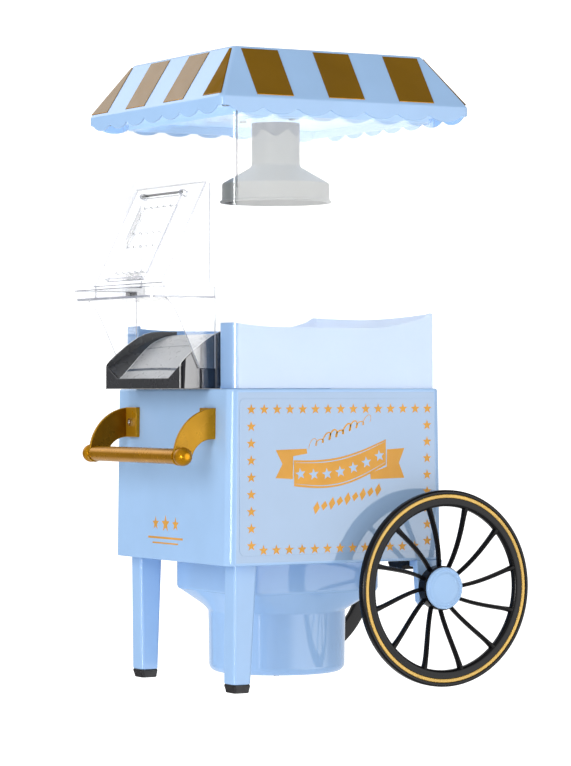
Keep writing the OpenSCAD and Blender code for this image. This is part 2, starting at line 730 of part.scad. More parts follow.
// The leaning panel's own frame: x across, y up its slope, z out of its front.
module on_panel() translate([0, panel_foot[0], panel_foot[1]]) rotate([panel_lean, 0, 0]) children();

module hinge_bore() translate([-50, hinge_s, hinge_n]) rotate([0, 90, 0])
  cylinder(r = pin_r + run_gap, h = 100);

module door_panel() color(clear) cart() {
  on_panel() difference() {
    union() {
      translate([-panel_hx, 0, 0]) cube([2 * panel_hx, panel_len, panel_t]);
      for (s = [0, 1]) mirror([s, 0, 0]) translate([flap_hx + 0.5, hinge_s, 0]) rotate([90, 0, 90])
        linear_extrude(3) {
          translate([0, hinge_n]) circle(knuckle_r);
          translate([-knuckle_r, 0.5]) square([2 * knuckle_r, hinge_n - 0.5]);
        }
    }
    translate([-window_hx, 9, -1]) cube([2 * window_hx, 54, 4]);
    hinge_bore();
  }
  for (s = [0, 1]) mirror([s, 0, 0]) translate([panel_hx - panel_t, 0, 0]) rotate([90, 0, 90])
    linear_extrude(panel_t)
      polygon([panel_foot, panel_head, [-cab_front, panel_head[1]], [-cab_front, panel_foot[1]]]);
  translate([-panel_hx, panel_foot[0], shelf_z - shelf_h + rim_w])
    cube([2 * panel_hx, panel_t, panel_foot[1] - shelf_z + shelf_h - rim_w + 1]);
}

module flap() color(clear) cart() on_panel() difference() {
  union() {
    translate([-flap_hx, 2, flap_n]) cube([2 * flap_hx, hinge_s - 2, 1.6]);
    translate([-flap_hx, hinge_s, hinge_n]) rotate([0, 90, 0]) cylinder(r = knuckle_r, h = 2 * flap_hx);
  }
  hinge_bore();
  for (x = [-20:10:20], y = [9, 41]) translate([x - 1, y, 0]) cube([2, 20, 6]);
}

module flap_pin() color(clear) cart() on_panel() translate([-flap_hx - 3.5, hinge_s, hinge_n])
  rotate([0, 90, 0]) cylinder(r = pin_r, h = 2 * flap_hx + 7);

// ---- Roof ----

roof_t = 2;
plate_z = cab_top + part_gap;
cusp_z = 410;
lobe = 4.6;
strip_in = 4.5;    // each strip of scallops stops short of the corners
roof_post = [93, 92];                      // screws between the plate and the roof

// Solid of the roof down to a given height: upright valance, then the four slopes; inset by t.
module roof_block(t, foot) hull() {
  slab(eave_hx - t, t - eave_hy, eave_hy - t, 4 - t, foot, eave_z - foot);
  slab(crown_h - t * 0.6, t * 0.6 - crown_h, crown_h - t * 0.6, 4 - t, roof_top - t - 0.5, 0.5);
}

// Flat strip of scallops, drawn from its middle along x, hanging from the valance.
module scallop_strip(half) {
  pitch = 2 * half / scallops;
  arc_r = (pitch * pitch / 4 + lobe * lobe) / (2 * lobe);
  translate([-half, cusp_z]) square([2 * half, 3]);
  for (i = [0:scallops - 1]) translate([-half + pitch * (i + 0.5), cusp_z]) intersection() {
    translate([0, arc_r - lobe]) circle(arc_r);
    translate([-half, -10]) square([2 * half, 10.5]);
  }
}

module at_posts() for (x = [-1, 1], y = [-1, 1])
  translate([x * roof_post[0], y * roof_post[1], 0]) children();

module roof() color(blue) cart() {
  difference() {
    roof_block(0, cusp_z);
    difference() {
      roof_block(roof_t, cusp_z - 1);
      at_posts() translate([0, 0, plate_z + 2]) cylinder(r = 4, h = 60);
    }
    at_posts() translate([0, 0, plate_z]) cylinder(r = 1.5, h = 15);
  }
  for (s = [0, 180]) rotate(s) {
    translate([0, roof_t - eave_hy, 0]) rotate([90, 0, 0]) linear_extrude(roof_t)
      scallop_strip(eave_hx - strip_in);
    translate([eave_hx - roof_t, 0, 0]) rotate([90, 0, 90]) linear_extrude(roof_t)
      scallop_strip(eave_hy - strip_in);
  }
}

module roof_plate() color(blue) cart() difference() {
  union() {
    slab(eave_hx - roof_t - 0.4, roof_t + 0.4 - eave_hy, eave_hy - roof_t - 0.4, 2, plate_z, 2);
    difference() {
      slab(cab_hx - clear_t - 2.4, clear_t + 1.6 - cab_front, cab_back - clear_t - 4, 4, plate_z - 6, 6.5);
      slab(cab_hx - clear_t - 4.2, clear_t + 3.4 - cab_front, cab_back - clear_t - 5.8, 3, plate_z - 7, 7);
    }
  }
  at_posts() translate([0, 0, plate_z - 1]) cylinder(r = 1.5, h = 6);
  for (a = [0:2]) rotate(120 * a) translate([24, 0, plate_z - 1]) cylinder(r = 1.25, h = 6);
}

module roof_screws() color("#9A9A9A") cart()
  at_posts() translate([0, 0, plate_z]) mirror([0, 0, 1]) screw(1.5, 12, 3);

hood_z = 350.5;
neck_r = 17.7;
skirt_r = 39.6;

// Outline of the bell: a flange under the plate, then the neck, the flare, the skirt and its lip.
module hood() color("#D2D2D4") cart() difference() {
  t = 1.8;
  rotate_extrude() polygon([
    [neck_r - t, plate_z], [neck_r + 10, plate_z], [neck_r + 10, plate_z - t],
    [neck_r, plate_z - t], [neck_r, 378], [neck_r + 3, 375.5],
    [skirt_r, 364.5], [skirt_r, hood_z + t], [skirt_r + 1.4, hood_z + t],
    [skirt_r + 1.4, hood_z], [skirt_r - t, hood_z], [skirt_r - t, 363],
    [neck_r + 2, 373.5], [neck_r - t, 377]]);
  for (a = [0:2]) rotate(120 * a) translate([24, 0, plate_z - 3]) cylinder(r = 1.25, h = 6);
}

module hood_screws() color("#9A9A9A") cart()
  for (a = [0:2]) rotate(120 * a) translate([24, 0, plate_z - 1.8]) mirror([0, 0, 1])
    screw(1.25, 5, 2.4, 1);

body_front();
body_back();
body_sides();
deck_plate();
base_plate();
base_housing();
inlet_grille();
decal_left();
decal_right();
leg_left();
leg_right();
foot_left();
foot_right();
axle_bracket_left();
axle_bracket_right();
wheel_stay_left();
wheel_stay_right();
axle();
axle_clips();
wheel_left();
wheel_right();
hub_cap_left();
hub_cap_right();
handle_bracket_left();
handle_bracket_right();
handle_bar();
handle_screws();
liner_tub();
popping_chamber();
chamber_collar();
heater_housing();
heater_former();
heater_coil();
thermostat();
thermal_fuse();
motor();
motor_shaft();
motor_mount();
motor_screws();
fan_impeller();
diode_board();
switch_housing();
switch_rocker();
cord_gland();
base_screws();
leg_screws();
grille_screws();
chute();
cabinet();
door_shelf();
door_panel();
flap();
flap_pin();
roof();
roof_plate();
roof_screws();
hood();
hood_screws();
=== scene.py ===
from math import atan2, cos, dist, hypot, pi, radians, sin

import bmesh
import bpy
from mathutils import Matrix, Vector


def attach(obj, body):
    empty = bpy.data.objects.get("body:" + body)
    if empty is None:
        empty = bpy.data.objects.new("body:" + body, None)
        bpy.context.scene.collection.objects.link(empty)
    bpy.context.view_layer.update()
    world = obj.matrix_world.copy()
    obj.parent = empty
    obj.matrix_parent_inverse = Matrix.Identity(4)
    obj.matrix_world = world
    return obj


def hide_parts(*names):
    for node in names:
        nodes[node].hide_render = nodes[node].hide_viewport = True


# Hot-air popcorn machine shaped as a small market cart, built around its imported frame.
# Shapes are drawn in millimetres around the popping axis, as in the CAD source, and
# AXIS_Y sets them in the outline's middle.

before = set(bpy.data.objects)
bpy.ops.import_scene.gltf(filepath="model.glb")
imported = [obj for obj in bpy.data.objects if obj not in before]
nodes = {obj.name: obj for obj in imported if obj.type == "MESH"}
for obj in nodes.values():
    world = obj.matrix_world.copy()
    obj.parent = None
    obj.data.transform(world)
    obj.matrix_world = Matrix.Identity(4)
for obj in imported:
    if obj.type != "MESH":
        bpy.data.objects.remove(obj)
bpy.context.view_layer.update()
MM = 0.001
AXIS_Y = -5.5


def place(point):
    """A point of the drawing in millimetres, as metres in the row frame."""
    return (point[0] * MM, (point[1] + AXIS_Y) * MM, point[2] * MM)


def new_object(name, data):
    obj = bpy.data.objects.new(name, data)
    bpy.context.scene.collection.objects.link(obj)
    return obj


# ---- Camera ----

def polar(azimuth, elevation):
    """Unit vector from the object towards the camera."""
    a, e = radians(azimuth), radians(elevation)
    return Vector((sin(a) * cos(e), -cos(a) * cos(e), sin(e)))


CAMERA_AZIMUTH, CAMERA_ELEVATION, CAMERA_ROLL = 60.36, -0.1, -0.12
CAMERA_TARGET, CAMERA_DISTANCE = (3.4, 0.4, 218.2), 2279
CAMERA_LENS, SENSOR = 145.6, 36


def add_camera():
    data = bpy.data.cameras.new("camera")
    data.sensor_width = SENSOR
    data.lens = CAMERA_LENS
    cam = new_object("camera", data)
    back = polar(CAMERA_AZIMUTH, CAMERA_ELEVATION)
    cam.location = (Vector(CAMERA_TARGET) + back * CAMERA_DISTANCE) * MM
    roll = Matrix.Rotation(radians(CAMERA_ROLL), 4, "Z")
    cam.rotation_mode = "QUATERNION"
    facing = back.to_track_quat("Z", "Y").to_matrix().to_4x4()
    cam.rotation_quaternion = (facing @ roll).to_quaternion()
    data.clip_start, data.clip_end = 0.1, 50
    bpy.context.scene.camera = cam


add_camera()


# ---- Materials ----

WHITE = (1, 1, 1, 1)


def linear(r, g, b):
    """Linear colour with full alpha from a screen colour of 0 to 255."""
    out = []
    for value in (r, g, b):
        v = value / 255
        out.append(v / 12.92 if v <= 0.04045 else ((v + 0.055) / 1.055) ** 2.4)
    return (*out, 1)


def add_node(tree, kind, inputs=None, **props):
    """Adds a node. A node or a socket among the inputs is linked, and any other value is set."""
    n = tree.nodes.new("ShaderNode" + kind)
    for key, value in props.items():
        setattr(n, key, value)
    for key, value in (inputs or {}).items():
        if isinstance(value, bpy.types.Node):
            value = value.outputs[0]
        if isinstance(value, bpy.types.NodeSocket):
            tree.links.new(value, n.inputs[key])
        else:
            n.inputs[key].default_value = value
    return n


class Graph:
    """A material's node tree with short ways to add and join nodes."""

    def __init__(self, name):
        self.mat = bpy.data.materials.new(name)
        self.mat.use_nodes = True
        self.tree = self.mat.node_tree
        self.tree.nodes.clear()
        self.out = self.tree.nodes.new("ShaderNodeOutputMaterial")
        self.coord = self.tree.nodes.new("ShaderNodeTexCoord").outputs["Object"]

    def add(self, kind, inputs=None, **props):
        return add_node(self.tree, kind, inputs, **props)

    def noise(self, scale, detail=3, stretch=(1, 1, 1), rough=0.55):
        """Noise of 0 to 1 in object space; scale is in cells for each metre."""
        mapping = self.add("Mapping", {"Vector": self.coord, "Scale": stretch})
        noise = {"Vector": mapping, "Scale": scale, "Detail": detail, "Roughness": rough}
        return self.add("TexNoise", noise).outputs["Fac"]

    def spread(self, value, low, high, start=0.3, end=0.7):
        """Value from start to end stretched to low and high."""
        return self.add("MapRange", {0: value, 1: start, 2: end, 3: low, 4: high})

    def tint(self, value, first, second, start=0.35, end=0.65):
        """Colour that goes from first to second with value."""
        n = self.add("ValToRGB", {0: value})
        ramp = n.color_ramp.elements
        ramp[0].position, ramp[0].color = start, first
        ramp[1].position, ramp[1].color = end, second
        return n

    def bump(self, value, depth, strength=0.6):
        """Normal from a height; depth is in millimetres."""
        return self.add("Bump", {"Height": value, "Distance": depth * MM, "Strength": strength})

    def finish(self, shader):
        self.tree.links.new(shader.outputs[0], self.out.inputs["Surface"])
        return self.mat


def shade(color, k):
    """Linear colour made k times as bright."""
    return (*[min(1, c * k) for c in color[:3]], 1)


def moulded(name, color, rough=0.22, specular=0.5, coat=0.0, vary=0.05, pebble=0.006, metallic=0.0,
            grain=900, glow=0.0):
    """glow is painted light: an emission in the surface's own colour that lifts parts lying in shade.
    glow stands for light that comes through a thin wall."""
    g = Graph(name)
    cloud = g.noise(28, 3)
    fine = g.noise(grain, 4)
    base = g.tint(cloud, shade(color, 1 - vary), shade(color, 1 + vary))
    gloss = g.spread(g.noise(75, 4), rough * 0.8, rough * 1.3)
    bsdf = g.add("BsdfPrincipled", {
        "Base Color": base, "Roughness": gloss, "Metallic": metallic, "Specular IOR Level": specular,
        "Coat Weight": coat, "Coat Roughness": 0.06, "Emission Color": base, "Emission Strength": glow,
        "Normal": g.bump(fine, pebble)})
    return g.finish(bsdf)


def brushed(name, color, rough, stretch=(1, 1, 1), grain=1500, depth=0.004, vary=0.08, metallic=1.0):
    """Metal with fine streaks along the directions that stretch leaves short."""
    g = Graph(name)
    streak = g.noise(grain, 3, stretch)
    base = g.tint(g.noise(60, 3), shade(color, 1 - vary), shade(color, 1 + vary))
    gloss = g.spread(streak, rough * 0.7, rough * 1.35)
    bsdf = g.add("BsdfPrincipled", {
        "Base Color": base, "Roughness": gloss, "Metallic": metallic,
        "Normal": g.bump(streak, depth)})
    return g.finish(bsdf)


def clear(name, tint, haze, rough=0.03, wave=0.02, milk=0.0, edge=None, shine=0.96):
    """Thin clear sheet: see-through, with a reflection that grows at a slant by shine, a slight haze and
    some milkiness; edge paints a glowing line of that colour along its outline where it is seen almost
    edge-on."""
    g = Graph(name)
    wavy = g.noise(14, 2)
    normal = g.bump(wavy, wave, 0.4)
    through = g.add("BsdfTransparent", {"Color": tint})
    face = g.add("BsdfGlossy", {"Color": WHITE, "Roughness": rough, "Normal": normal})
    if milk:
        cloudy = g.add("BsdfDiffuse", {"Color": linear(244, 246, 250)})
        amount = g.spread(g.noise(20, 3), milk * 0.9, milk * 1.1)
        through = g.add("MixShader", {0: amount, 1: through, 2: cloudy})
    slant = g.add("LayerWeight", {"Blend": 0.5, "Normal": normal}).outputs["Facing"]
    grazing = g.add("Math", {0: slant, 1: 5.0}, operation="POWER")
    schlick = g.add("Math", {0: grazing, 1: shine, 2: 0.04}, operation="MULTIPLY_ADD")
    dusty = g.spread(g.noise(45, 4), haze * 0.6, haze * 1.4)
    fac = g.add("Math", {0: schlick, 1: dusty}, operation="ADD", use_clamp=True)
    mix = g.add("MixShader", {0: fac, 1: through, 2: face})
    # Painted light: an emission in the edge colour over the outline.
    if edge:
        outline = g.add("Emission", {"Color": edge, "Strength": 0.9})
        near = g.spread(slant, 0.0, 0.75, 0.72, 0.93)
        mix = g.add("MixShader", {0: near, 1: mix, 2: outline})
    return g.finish(mix)


def clear_rim(name, facing, grazing, low, high):
    """Cut or moulded edge of a clear sheet, which catches the light and goes darker at a slant."""
    g = Graph(name)
    layer = g.add("LayerWeight", {"Blend": 0.35})
    color = g.tint(layer.outputs["Facing"], facing, grazing, 0.1, 0.75)
    grain = g.noise(160, 3)
    body = g.add("BsdfPrincipled", {
        "Base Color": color, "Roughness": g.spread(grain, 0.08, 0.2), "Specular IOR Level": 0.8})
    through = g.add("BsdfTransparent", {"Color": WHITE})
    fac = g.spread(layer.outputs["Facing"], low, high, 0.1, 0.8)
    mix = g.add("MixShader", {0: fac, 1: through, 2: body})
    return g.finish(mix)


def painted_reflection_bands(name, stops, rough):
    """Plated sheet with reflections painted into its colour as upright bands, each placed by its Y in the
    row frame.
    """
    g = Graph(name)
    y = g.add("SeparateXYZ", {0: g.coord}).outputs["Y"]
    sway = g.add("Math", {0: g.noise(30, 2), 1: 0.004, 2: y}, operation="MULTIPLY_ADD")
    first, last = stops[0][0], stops[-1][0]
    ramp = g.add("ValToRGB", {0: g.spread(sway, 0, 1, first * MM, last * MM)})
    keys = ramp.color_ramp.elements
    while len(keys) < len(stops):
        keys.new(0.5)
    for key, (at, color) in zip(keys, stops):
        key.position, key.color = (at - first) / (last - first), (*color, 1)
    bsdf = g.add("BsdfPrincipled", {
        "Base Color": ramp, "Metallic": 1.0,
        "Roughness": g.spread(g.noise(90, 3), rough * 0.8, rough * 1.2),
        "Normal": g.bump(g.noise(700, 3), 0.001)})
    return g.finish(bsdf)


BLUE = linear(160, 194, 233)

# Reflections painted on the chute's side as bands, from its front edge: where each starts and ends in
# millimetres, and its linear colour there.
BANDS = [
    (-116.1, (0.3, 0.3, 0.3)), (-114.2, (0.3, 0.3, 0.3)),
    (-113.8, (0.006, 0.006, 0.007)), (-110.6, (0.008, 0.008, 0.009)),
    (-110.2, (0.11, 0.11, 0.112)), (-99.0, (0.1, 0.1, 0.102)),
    (-98.4, (0.01, 0.01, 0.012)), (-96.8, (0.015, 0.015, 0.017)),
    (-96.2, (0.11, 0.11, 0.115)), (-92.2, (0.09, 0.09, 0.095)),
    (-91.4, (0.03, 0.04, 0.055)), (-84.6, (0.035, 0.045, 0.06)),
    (-83.8, (0.2, 0.2, 0.2)), (-82.8, (0.05, 0.06, 0.08)), (-60.0, (0.09, 0.09, 0.1)),
]

mat = {
    "blue": moulded("blue_plastic", BLUE, 0.11, 0.25, vary=0.02, pebble=0.002),
    "well": moulded("well_plastic", BLUE, 0.07, 0.3, vary=0.02, pebble=0.001),
    "film": moulded("side_film", linear(150, 178, 211), 0.03, 0.5, vary=0.015, pebble=0.0006),
    "cap": moulded("cap_plastic", shade(BLUE, 0.98), 0.42, 0.3, vary=0.02, pebble=0.004),
    "print": moulded("gold_print", linear(212, 154, 66), 0.4, 0.25, vary=0.09, pebble=0.01, grain=2200),
    "stripe": moulded("stripe_gold", linear(121, 87, 5), 0.2, 0.3, vary=0.05, pebble=0.002, grain=1700),
    "stripe_matt": moulded("stripe_gold_matt", linear(121, 87, 5), 0.6, 0.08, vary=0.05, pebble=0.004,
                           grain=1700),
    "gold": moulded("gold_paint", linear(168, 116, 5), 0.26, 0.12, vary=0.07, pebble=0.004, metallic=0.5,
                    grain=2600),
    "gold_plate": moulded("gold_plate", linear(164, 119, 18), 0.28, 0.12, vary=0.07, pebble=0.004,
                          metallic=0.2, grain=2600),
    # Painted shade: darker gold for the inner faces of the handle brackets.
    "gold_painted_shade": moulded("gold_paint_painted_shade", linear(116, 76, 2), 0.3, 0.1, vary=0.07, pebble=0.004,
                         metallic=0.5, grain=2600),
    "ring": moulded("wheel_gold", linear(188, 152, 74), 0.34, 0.3, vary=0.1, pebble=0.02, metallic=0.15,
                    grain=1200),
    "tyre": moulded("black_wheel", linear(11, 10, 12), 0.22, 0.12, vary=0.12, pebble=0.004),
    "rubber": moulded("rubber_foot", linear(26, 25, 27), 0.6, 0.35, vary=0.15, pebble=0.03, grain=1400),
    "hood": moulded("hood_plastic", linear(134, 136, 132), 0.4, 0.25, vary=0.03, pebble=0.004),
    # Painted shadow: dark slate for the band of the hood's neck under the roof.
    "hood_painted_shadow": moulded("hood_painted_shadow", linear(70, 78, 92), 0.4, 0.2, vary=0.05, pebble=0.004),
    # Painted reflection: the ramp's grey stands for the studio mirrored in its chrome.
    "satin": brushed("chute_painted_grey_reflection", linear(182, 183, 185), 0.34, (1, 0.15, 1), 500, 0.001, 0.03, 0.35),
    # Painted reflection: near-black for the chrome chute's lip and inner faces that mirror a dark side of
    # the studio.
    "charcoal": moulded("chute_painted_dark_reflection", linear(52, 53, 56), 0.26, 0.3, vary=0.05, pebble=0.003),
    "seam": moulded("chute_seam", linear(44, 58, 76), 0.3, 0.4, vary=0.1, pebble=0.003),
    # Painted highlight: white lines on the chute walls' narrow faces and the ramp's creases.
    "bright": brushed("chute_painted_highlight", linear(250, 250, 250), 0.3, (1, 0.15, 1), 500, 0.001, 0.02, 0.2),
    # Painted reflections: bands along the chute's outer sides.
    "chute_side": painted_reflection_bands("chute_side_chrome", BANDS, 0.12),
    "screw": brushed("bright_screw", linear(225, 225, 228), 0.2, (1, 1, 1), 1800, 0.005),
    "steel": brushed("steel_rod", linear(170, 172, 176), 0.28, (0.06, 1, 1), 1800, 0.004),
    "zinc": brushed("zinc_screw", linear(160, 160, 158), 0.35, (1, 1, 0.3), 2400, 0.008, 0.12),
    "aluminium": brushed("spun_aluminium", linear(196, 199, 203), 0.33, (1, 1, 0.05), 1300, 0.005, 0.07),
    "can": brushed("motor_can", linear(160, 163, 168), 0.3, (1, 1, 0.1), 1500, 0.006, 0.1),
    "wire": brushed("heater_wire", linear(120, 116, 118), 0.45, (1, 1, 1), 2600, 0.01, 0.2),
    "collar": moulded("collar_plastic", linear(222, 228, 236), 0.3, 0.5, vary=0.03),
    "duct": moulded("duct_plastic", linear(96, 80, 62), 0.5, 0.4, vary=0.1, pebble=0.02),
    "mica": moulded("mica_sheet", linear(205, 190, 150), 0.35, 0.6, coat=0.6, vary=0.22, pebble=0.02,
                    grain=420),
    "black": moulded("black_plastic", linear(24, 25, 28), 0.4, 0.5, vary=0.12, pebble=0.02, grain=1300),
    "red": moulded("red_plastic", linear(176, 26, 24), 0.24, 0.6, coat=0.4, vary=0.06, pebble=0.006),
    "board": moulded("circuit_board", linear(40, 104, 60), 0.35, 0.6, coat=0.5, vary=0.2, pebble=0.02,
                     grain=700),
    "fuse": moulded("fuse_case", linear(190, 152, 64), 0.3, 0.6, coat=0.5, vary=0.08, metallic=0.5),
    "wall": clear("clear_wall", (0.985, 0.99, 1, 1), 0.004),
    # Painted sheen: the side walls alone get a milky white layer for the reflected light over them.
    "side_wall": clear("clear_side_wall_painted_sheen", (0.98, 0.975, 0.965, 1), 0.004, milk=0.065),
    "sheet": clear("clear_sheet", (0.985, 0.988, 0.996, 1), 0.006),
    "thin": clear("clear_pin", (0.99, 0.992, 0.996, 1), 0.0, shine=0.05),
    # The corner's edge colour is a painted glowing outline.
    "corner": clear("clear_corner", (0.985, 0.99, 1, 1), 0.01, rough=0.05, edge=linear(205, 160, 92)),
    # Painted reflection: grey and dark lines for the light bent at the cabinet's near corner.
    "corner_painted_line": clear_rim("clear_corner_painted_line", linear(96, 98, 106), linear(120, 122, 130), 0.28, 0.4),
    "corner_painted_dark_line": clear_rim("clear_corner_painted_dark_line", linear(66, 68, 74), linear(110, 112, 120), 0.7, 0.6),
    "cut": clear_rim("clear_cut", linear(250, 251, 253), linear(232, 234, 240), 0.12, 0.22),
    "rim": clear_rim("clear_edge", linear(190, 194, 204), linear(126, 130, 146), 0.6, 0.85),
    "slot_end": clear_rim("clear_slot_end", linear(120, 132, 140), linear(96, 108, 118), 0.8, 0.95),
    # Painted light: the roof plate is a lighter blue than the body and glows, lifting its shade.
    "plate": moulded("roof_plate", linear(190, 216, 242), 0.2, 0.5, vary=0.02, glow=0.3),
    # Painted light: the roof's inside is the body blue with a glow that lifts its shade.
    "roof_inside_painted_glow": moulded("roof_inside_painted_glow", BLUE, 0.2, 0.3, vary=0.02, glow=0.35),
    # Painted light: the tub is a slightly lighter copy of the blue with a faint glow, for its less lit
    # inside.
    "tub": moulded("tub_plastic_painted_glow", shade(BLUE, 1.03), 0.4, 0.12, vary=0.02, pebble=0.002, glow=0.03),
}


# ---- Mesh helpers ----

class Shape:
    """Vertices in millimetres, faces, and each face's place in the piece's list of materials."""

    def __init__(self):
        self.verts, self.faces, self.marks = [], [], []

    def add(self, verts, faces, mark=0):
        base = len(self.verts)
        self.verts += [tuple(v) for v in verts]
        self.faces += [tuple(base + i for i in f) for f in faces]
        self.marks += [mark] * len(faces) if isinstance(mark, int) else list(mark)
        return self

    def join(self, other, mark=None):
        return self.add(other.verts, other.faces, other.marks if mark is None else mark)

    def moved(self, fn):
        out = Shape()
        return out.add([fn(v) for v in self.verts], self.faces, self.marks)

    def mirrored(self):
        """The same shape on the -X side."""
        out = Shape()
        return out.add([(-x, y, z) for x, y, z in self.verts], [f[::-1] for f in self.faces], self.marks)


def both(shape):
    """A shape and its mirror image as one."""
    return Shape().join(shape).join(shape.mirrored())


# Names of the +X and -X sides, with what turns a right-hand shape into each side's.
HANDS = (("right", lambda shape: shape), ("left", Shape.mirrored))


def loft(rings, ring_closed=True, loop=False, caps=(False, False), mark=0):
    """Skin over rings of the same number of points."""
    n = len(rings[0])
    verts = [p for ring in rings for p in ring]
    faces = []
    count = len(rings)
    for i in range(count if loop else count - 1):
        a, b = i * n, (i + 1) % count * n
        for j in range(n if ring_closed else n - 1):
            k = (j + 1) % n
            faces.append((a + j, a + k, b + k, b + j))
    if caps[0]:
        faces.append(tuple(range(n - 1, -1, -1)))
    if caps[1]:
        faces.append(tuple(range((count - 1) * n, count * n)))
    return Shape().add(verts, faces, mark)


def arc(cx, cy, r, start, end, steps):
    """Points of an arc in degrees."""
    turns = [radians(start + (end - start) * i / steps) for i in range(steps + 1)]
    return [(cx + r * cos(a), cy + r * sin(a)) for a in turns]


def rect_ring(hx, y0, y1, r, z, corner=10, side=1, x0=None):
    """Rounded rectangle at one height, anticlockwise from above, with side steps on each straight."""
    x0 = -hx if x0 is None else x0
    spots = ((hx - r, y0 + r, -90), (hx - r, y1 - r, 0), (x0 + r, y1 - r, 90), (x0 + r, y0 + r, 180))
    ring = []
    for i, (cx, cy, start) in enumerate(spots):
        ring += arc(cx, cy, r, start, start + 90, corner)
        nx, ny, after = spots[(i + 1) % 4]
        b = radians(after)
        last, goal = ring[-1], (nx + r * cos(b), ny + r * sin(b))
        for j in range(1, side):
            t = j / side
            ring.append((last[0] + (goal[0] - last[0]) * t, last[1] + (goal[1] - last[1]) * t))
    return [(x, y, z) for x, y in ring]


def circle_like(ring, r, z):
    """Circle whose points stand at the same angles as a ring's."""
    return [(r * cos(atan2(y, x)), r * sin(atan2(y, x)), z) for x, y, _ in ring]


def spin(profile, steps=96, loop=True, mark=0):
    """Surface turned about Z from (radius, height) points; loop joins the last point to the first."""
    turns = [2 * pi * i / steps for i in range(steps)]
    rings = [[(r * cos(a), r * sin(a), h) for a in turns] for r, h in profile]
    return loft(rings, True, loop, (not loop, not loop), mark)


def turned(point):
    """Turns a shape made about Z so that its axis lies along X."""
    x, y, z = point
    return (z, x, y)


def plate(outline, low, high, to3d, mark=0):
    """Flat plate from an outline, between two offsets, put in space by to3d(u, v, w)."""
    n = len(outline)
    verts = [to3d(u, v, low) for u, v in outline] + [to3d(u, v, high) for u, v in outline]
    faces = [tuple(range(n - 1, -1, -1)), tuple(range(n, 2 * n))]
    faces += [(i, (i + 1) % n, n + (i + 1) % n, n + i) for i in range(n)]
    return Shape().add(verts, faces, mark)


# Planes that a plate's outline is drawn in; w is the distance off the plane.
def yz(u, v, w):
    return (w, u, v)


def xz(u, v, w):
    return (u, w, v)


def xy(u, v, w):
    return (u, v, w)


def piece(name, shape, looks, body, replaces=(), bevel=0.0, segments=2, angle=32, weighted=True):
    """Makes a shape a Blender piece that rides a body; bevel in millimetres rounds its sharp edges."""
    mesh = bpy.data.meshes.new(name)
    mesh.from_pydata([place(v) for v in shape.verts], [], shape.faces)
    for look in looks if isinstance(looks, (list, tuple)) else [looks]:
        mesh.materials.append(mat[look])
    for poly, mark in zip(mesh.polygons, shape.marks):
        poly.material_index = mark
    bm = bmesh.new()
    bm.from_mesh(mesh)
    bmesh.ops.remove_doubles(bm, verts=bm.verts, dist=1e-6)
    bmesh.ops.recalc_face_normals(bm, faces=bm.faces)
    if bevel:
        sharp = [e for e in bm.edges if len(e.link_faces) == 2 and e.calc_face_angle(0) > radians(38)]
        bmesh.ops.bevel(bm, geom=sharp, offset=bevel * MM, segments=segments, profile=0.5, affect="EDGES",
                        clamp_overlap=True)
    bm.to_mesh(mesh)
    bm.free()
    for poly in mesh.polygons:
        poly.use_smooth = True
    mesh.set_sharp_from_angle(angle=radians(angle))
    obj = new_object(name, mesh)
    if weighted:
        mod = obj.modifiers.new("weighted", "WEIGHTED_NORMAL")
        mod.keep_sharp = True
    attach(obj, body)
    if replaces:
        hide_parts(*replaces)
    return obj


def cut(obj, shape):
    """Takes a closed shape out of a piece."""
    mesh = bpy.data.meshes.new("cutter")
    mesh.from_pydata([place(v) for v in shape.verts], [], shape.faces)
    tool = new_object("cutter", mesh)
    mod = obj.modifiers.new("cut", "BOOLEAN")
    mod.object, mod.operation, mod.solver = tool, "DIFFERENCE", "EXACT"
    obj.modifiers.move(len(obj.modifiers) - 1, 0)
    graph = bpy.context.evaluated_depsgraph_get()
    baked = bpy.data.meshes.new_from_object(obj.evaluated_get(graph))
    obj.modifiers.clear()
    obj.data = baked
    bpy.data.objects.remove(tool)
    obj.modifiers.new("weighted", "WEIGHTED_NORMAL").keep_sharp = True


def box(x0, x1, y0, y1, z0, z1):
    return plate([(x0, y0), (x1, y0), (x1, y1), (x0, y1)], z0, z1, xy)


# ---- Body ----

BODY_HX, BODY_HY, DECK_HY, BODY_Z, DECK_Z = 89, 89, 87, 90, 214
SWITCH_X, SWITCH_Z, INLET_X, INLET_Z = 45, 150, -45, 108


def wall_y(z):
    """Half depth of the body at a height."""
    return BODY_HY - (BODY_HY - DECK_HY) * (z - BODY_Z) / (DECK_Z - BODY_Z)


def body_ring(inset, z):
    """Outline of the body at a height, inset from its outside."""
    hy = wall_y(z) - inset
    return rect_ring(BODY_HX - inset, -hy, hy, 7.5 - inset * 0.9, z, 10, 3)


def build_body():
    """Outside, deck and inside of the body as one skin, with the switch's and the inlet's openings."""
    rings = [body_ring(inset, z) for inset, z in (
        (1.1, BODY_Z), (0.4, 90.25), (0.06, 90.9), (0, 92), (0, 150),
        (0, 211.6), (0.15, 212.8), (0.6, 213.7), (1.5, DECK_Z))]
    top = rings[-1]
    rings += [circle_like(top, 43, 214), circle_like(top, 42, 213.4), circle_like(top, 42, 211.5)]
    rings += [body_ring(2.5, 211.5), body_ring(2.5, BODY_Z)]
    case = loft(rings, loop=True)

    def on_side(i):
        x, _, z = case.verts[i]
        return abs(x) > BODY_HX - 0.1 and BODY_Z + 1 < z < DECK_Z - 1

    case.marks = [int(all(on_side(i) for i in f)) for f in case.faces]
    obj = piece("body_case", case, ["blue", "film"], "base",
                ["body_front", "body_back", "body_sides", "deck_plate"])
    cut(obj, box(SWITCH_X - 7, SWITCH_X + 7, 80, 99, SWITCH_Z - 12, SWITCH_Z + 12))
    hole = spin([(6, 0), (6, 20)], 48, loop=False)
    cut(obj, hole.moved(lambda p: (p[0] + INLET_X, p[2] + 79, p[1] + INLET_Z)))


build_body()


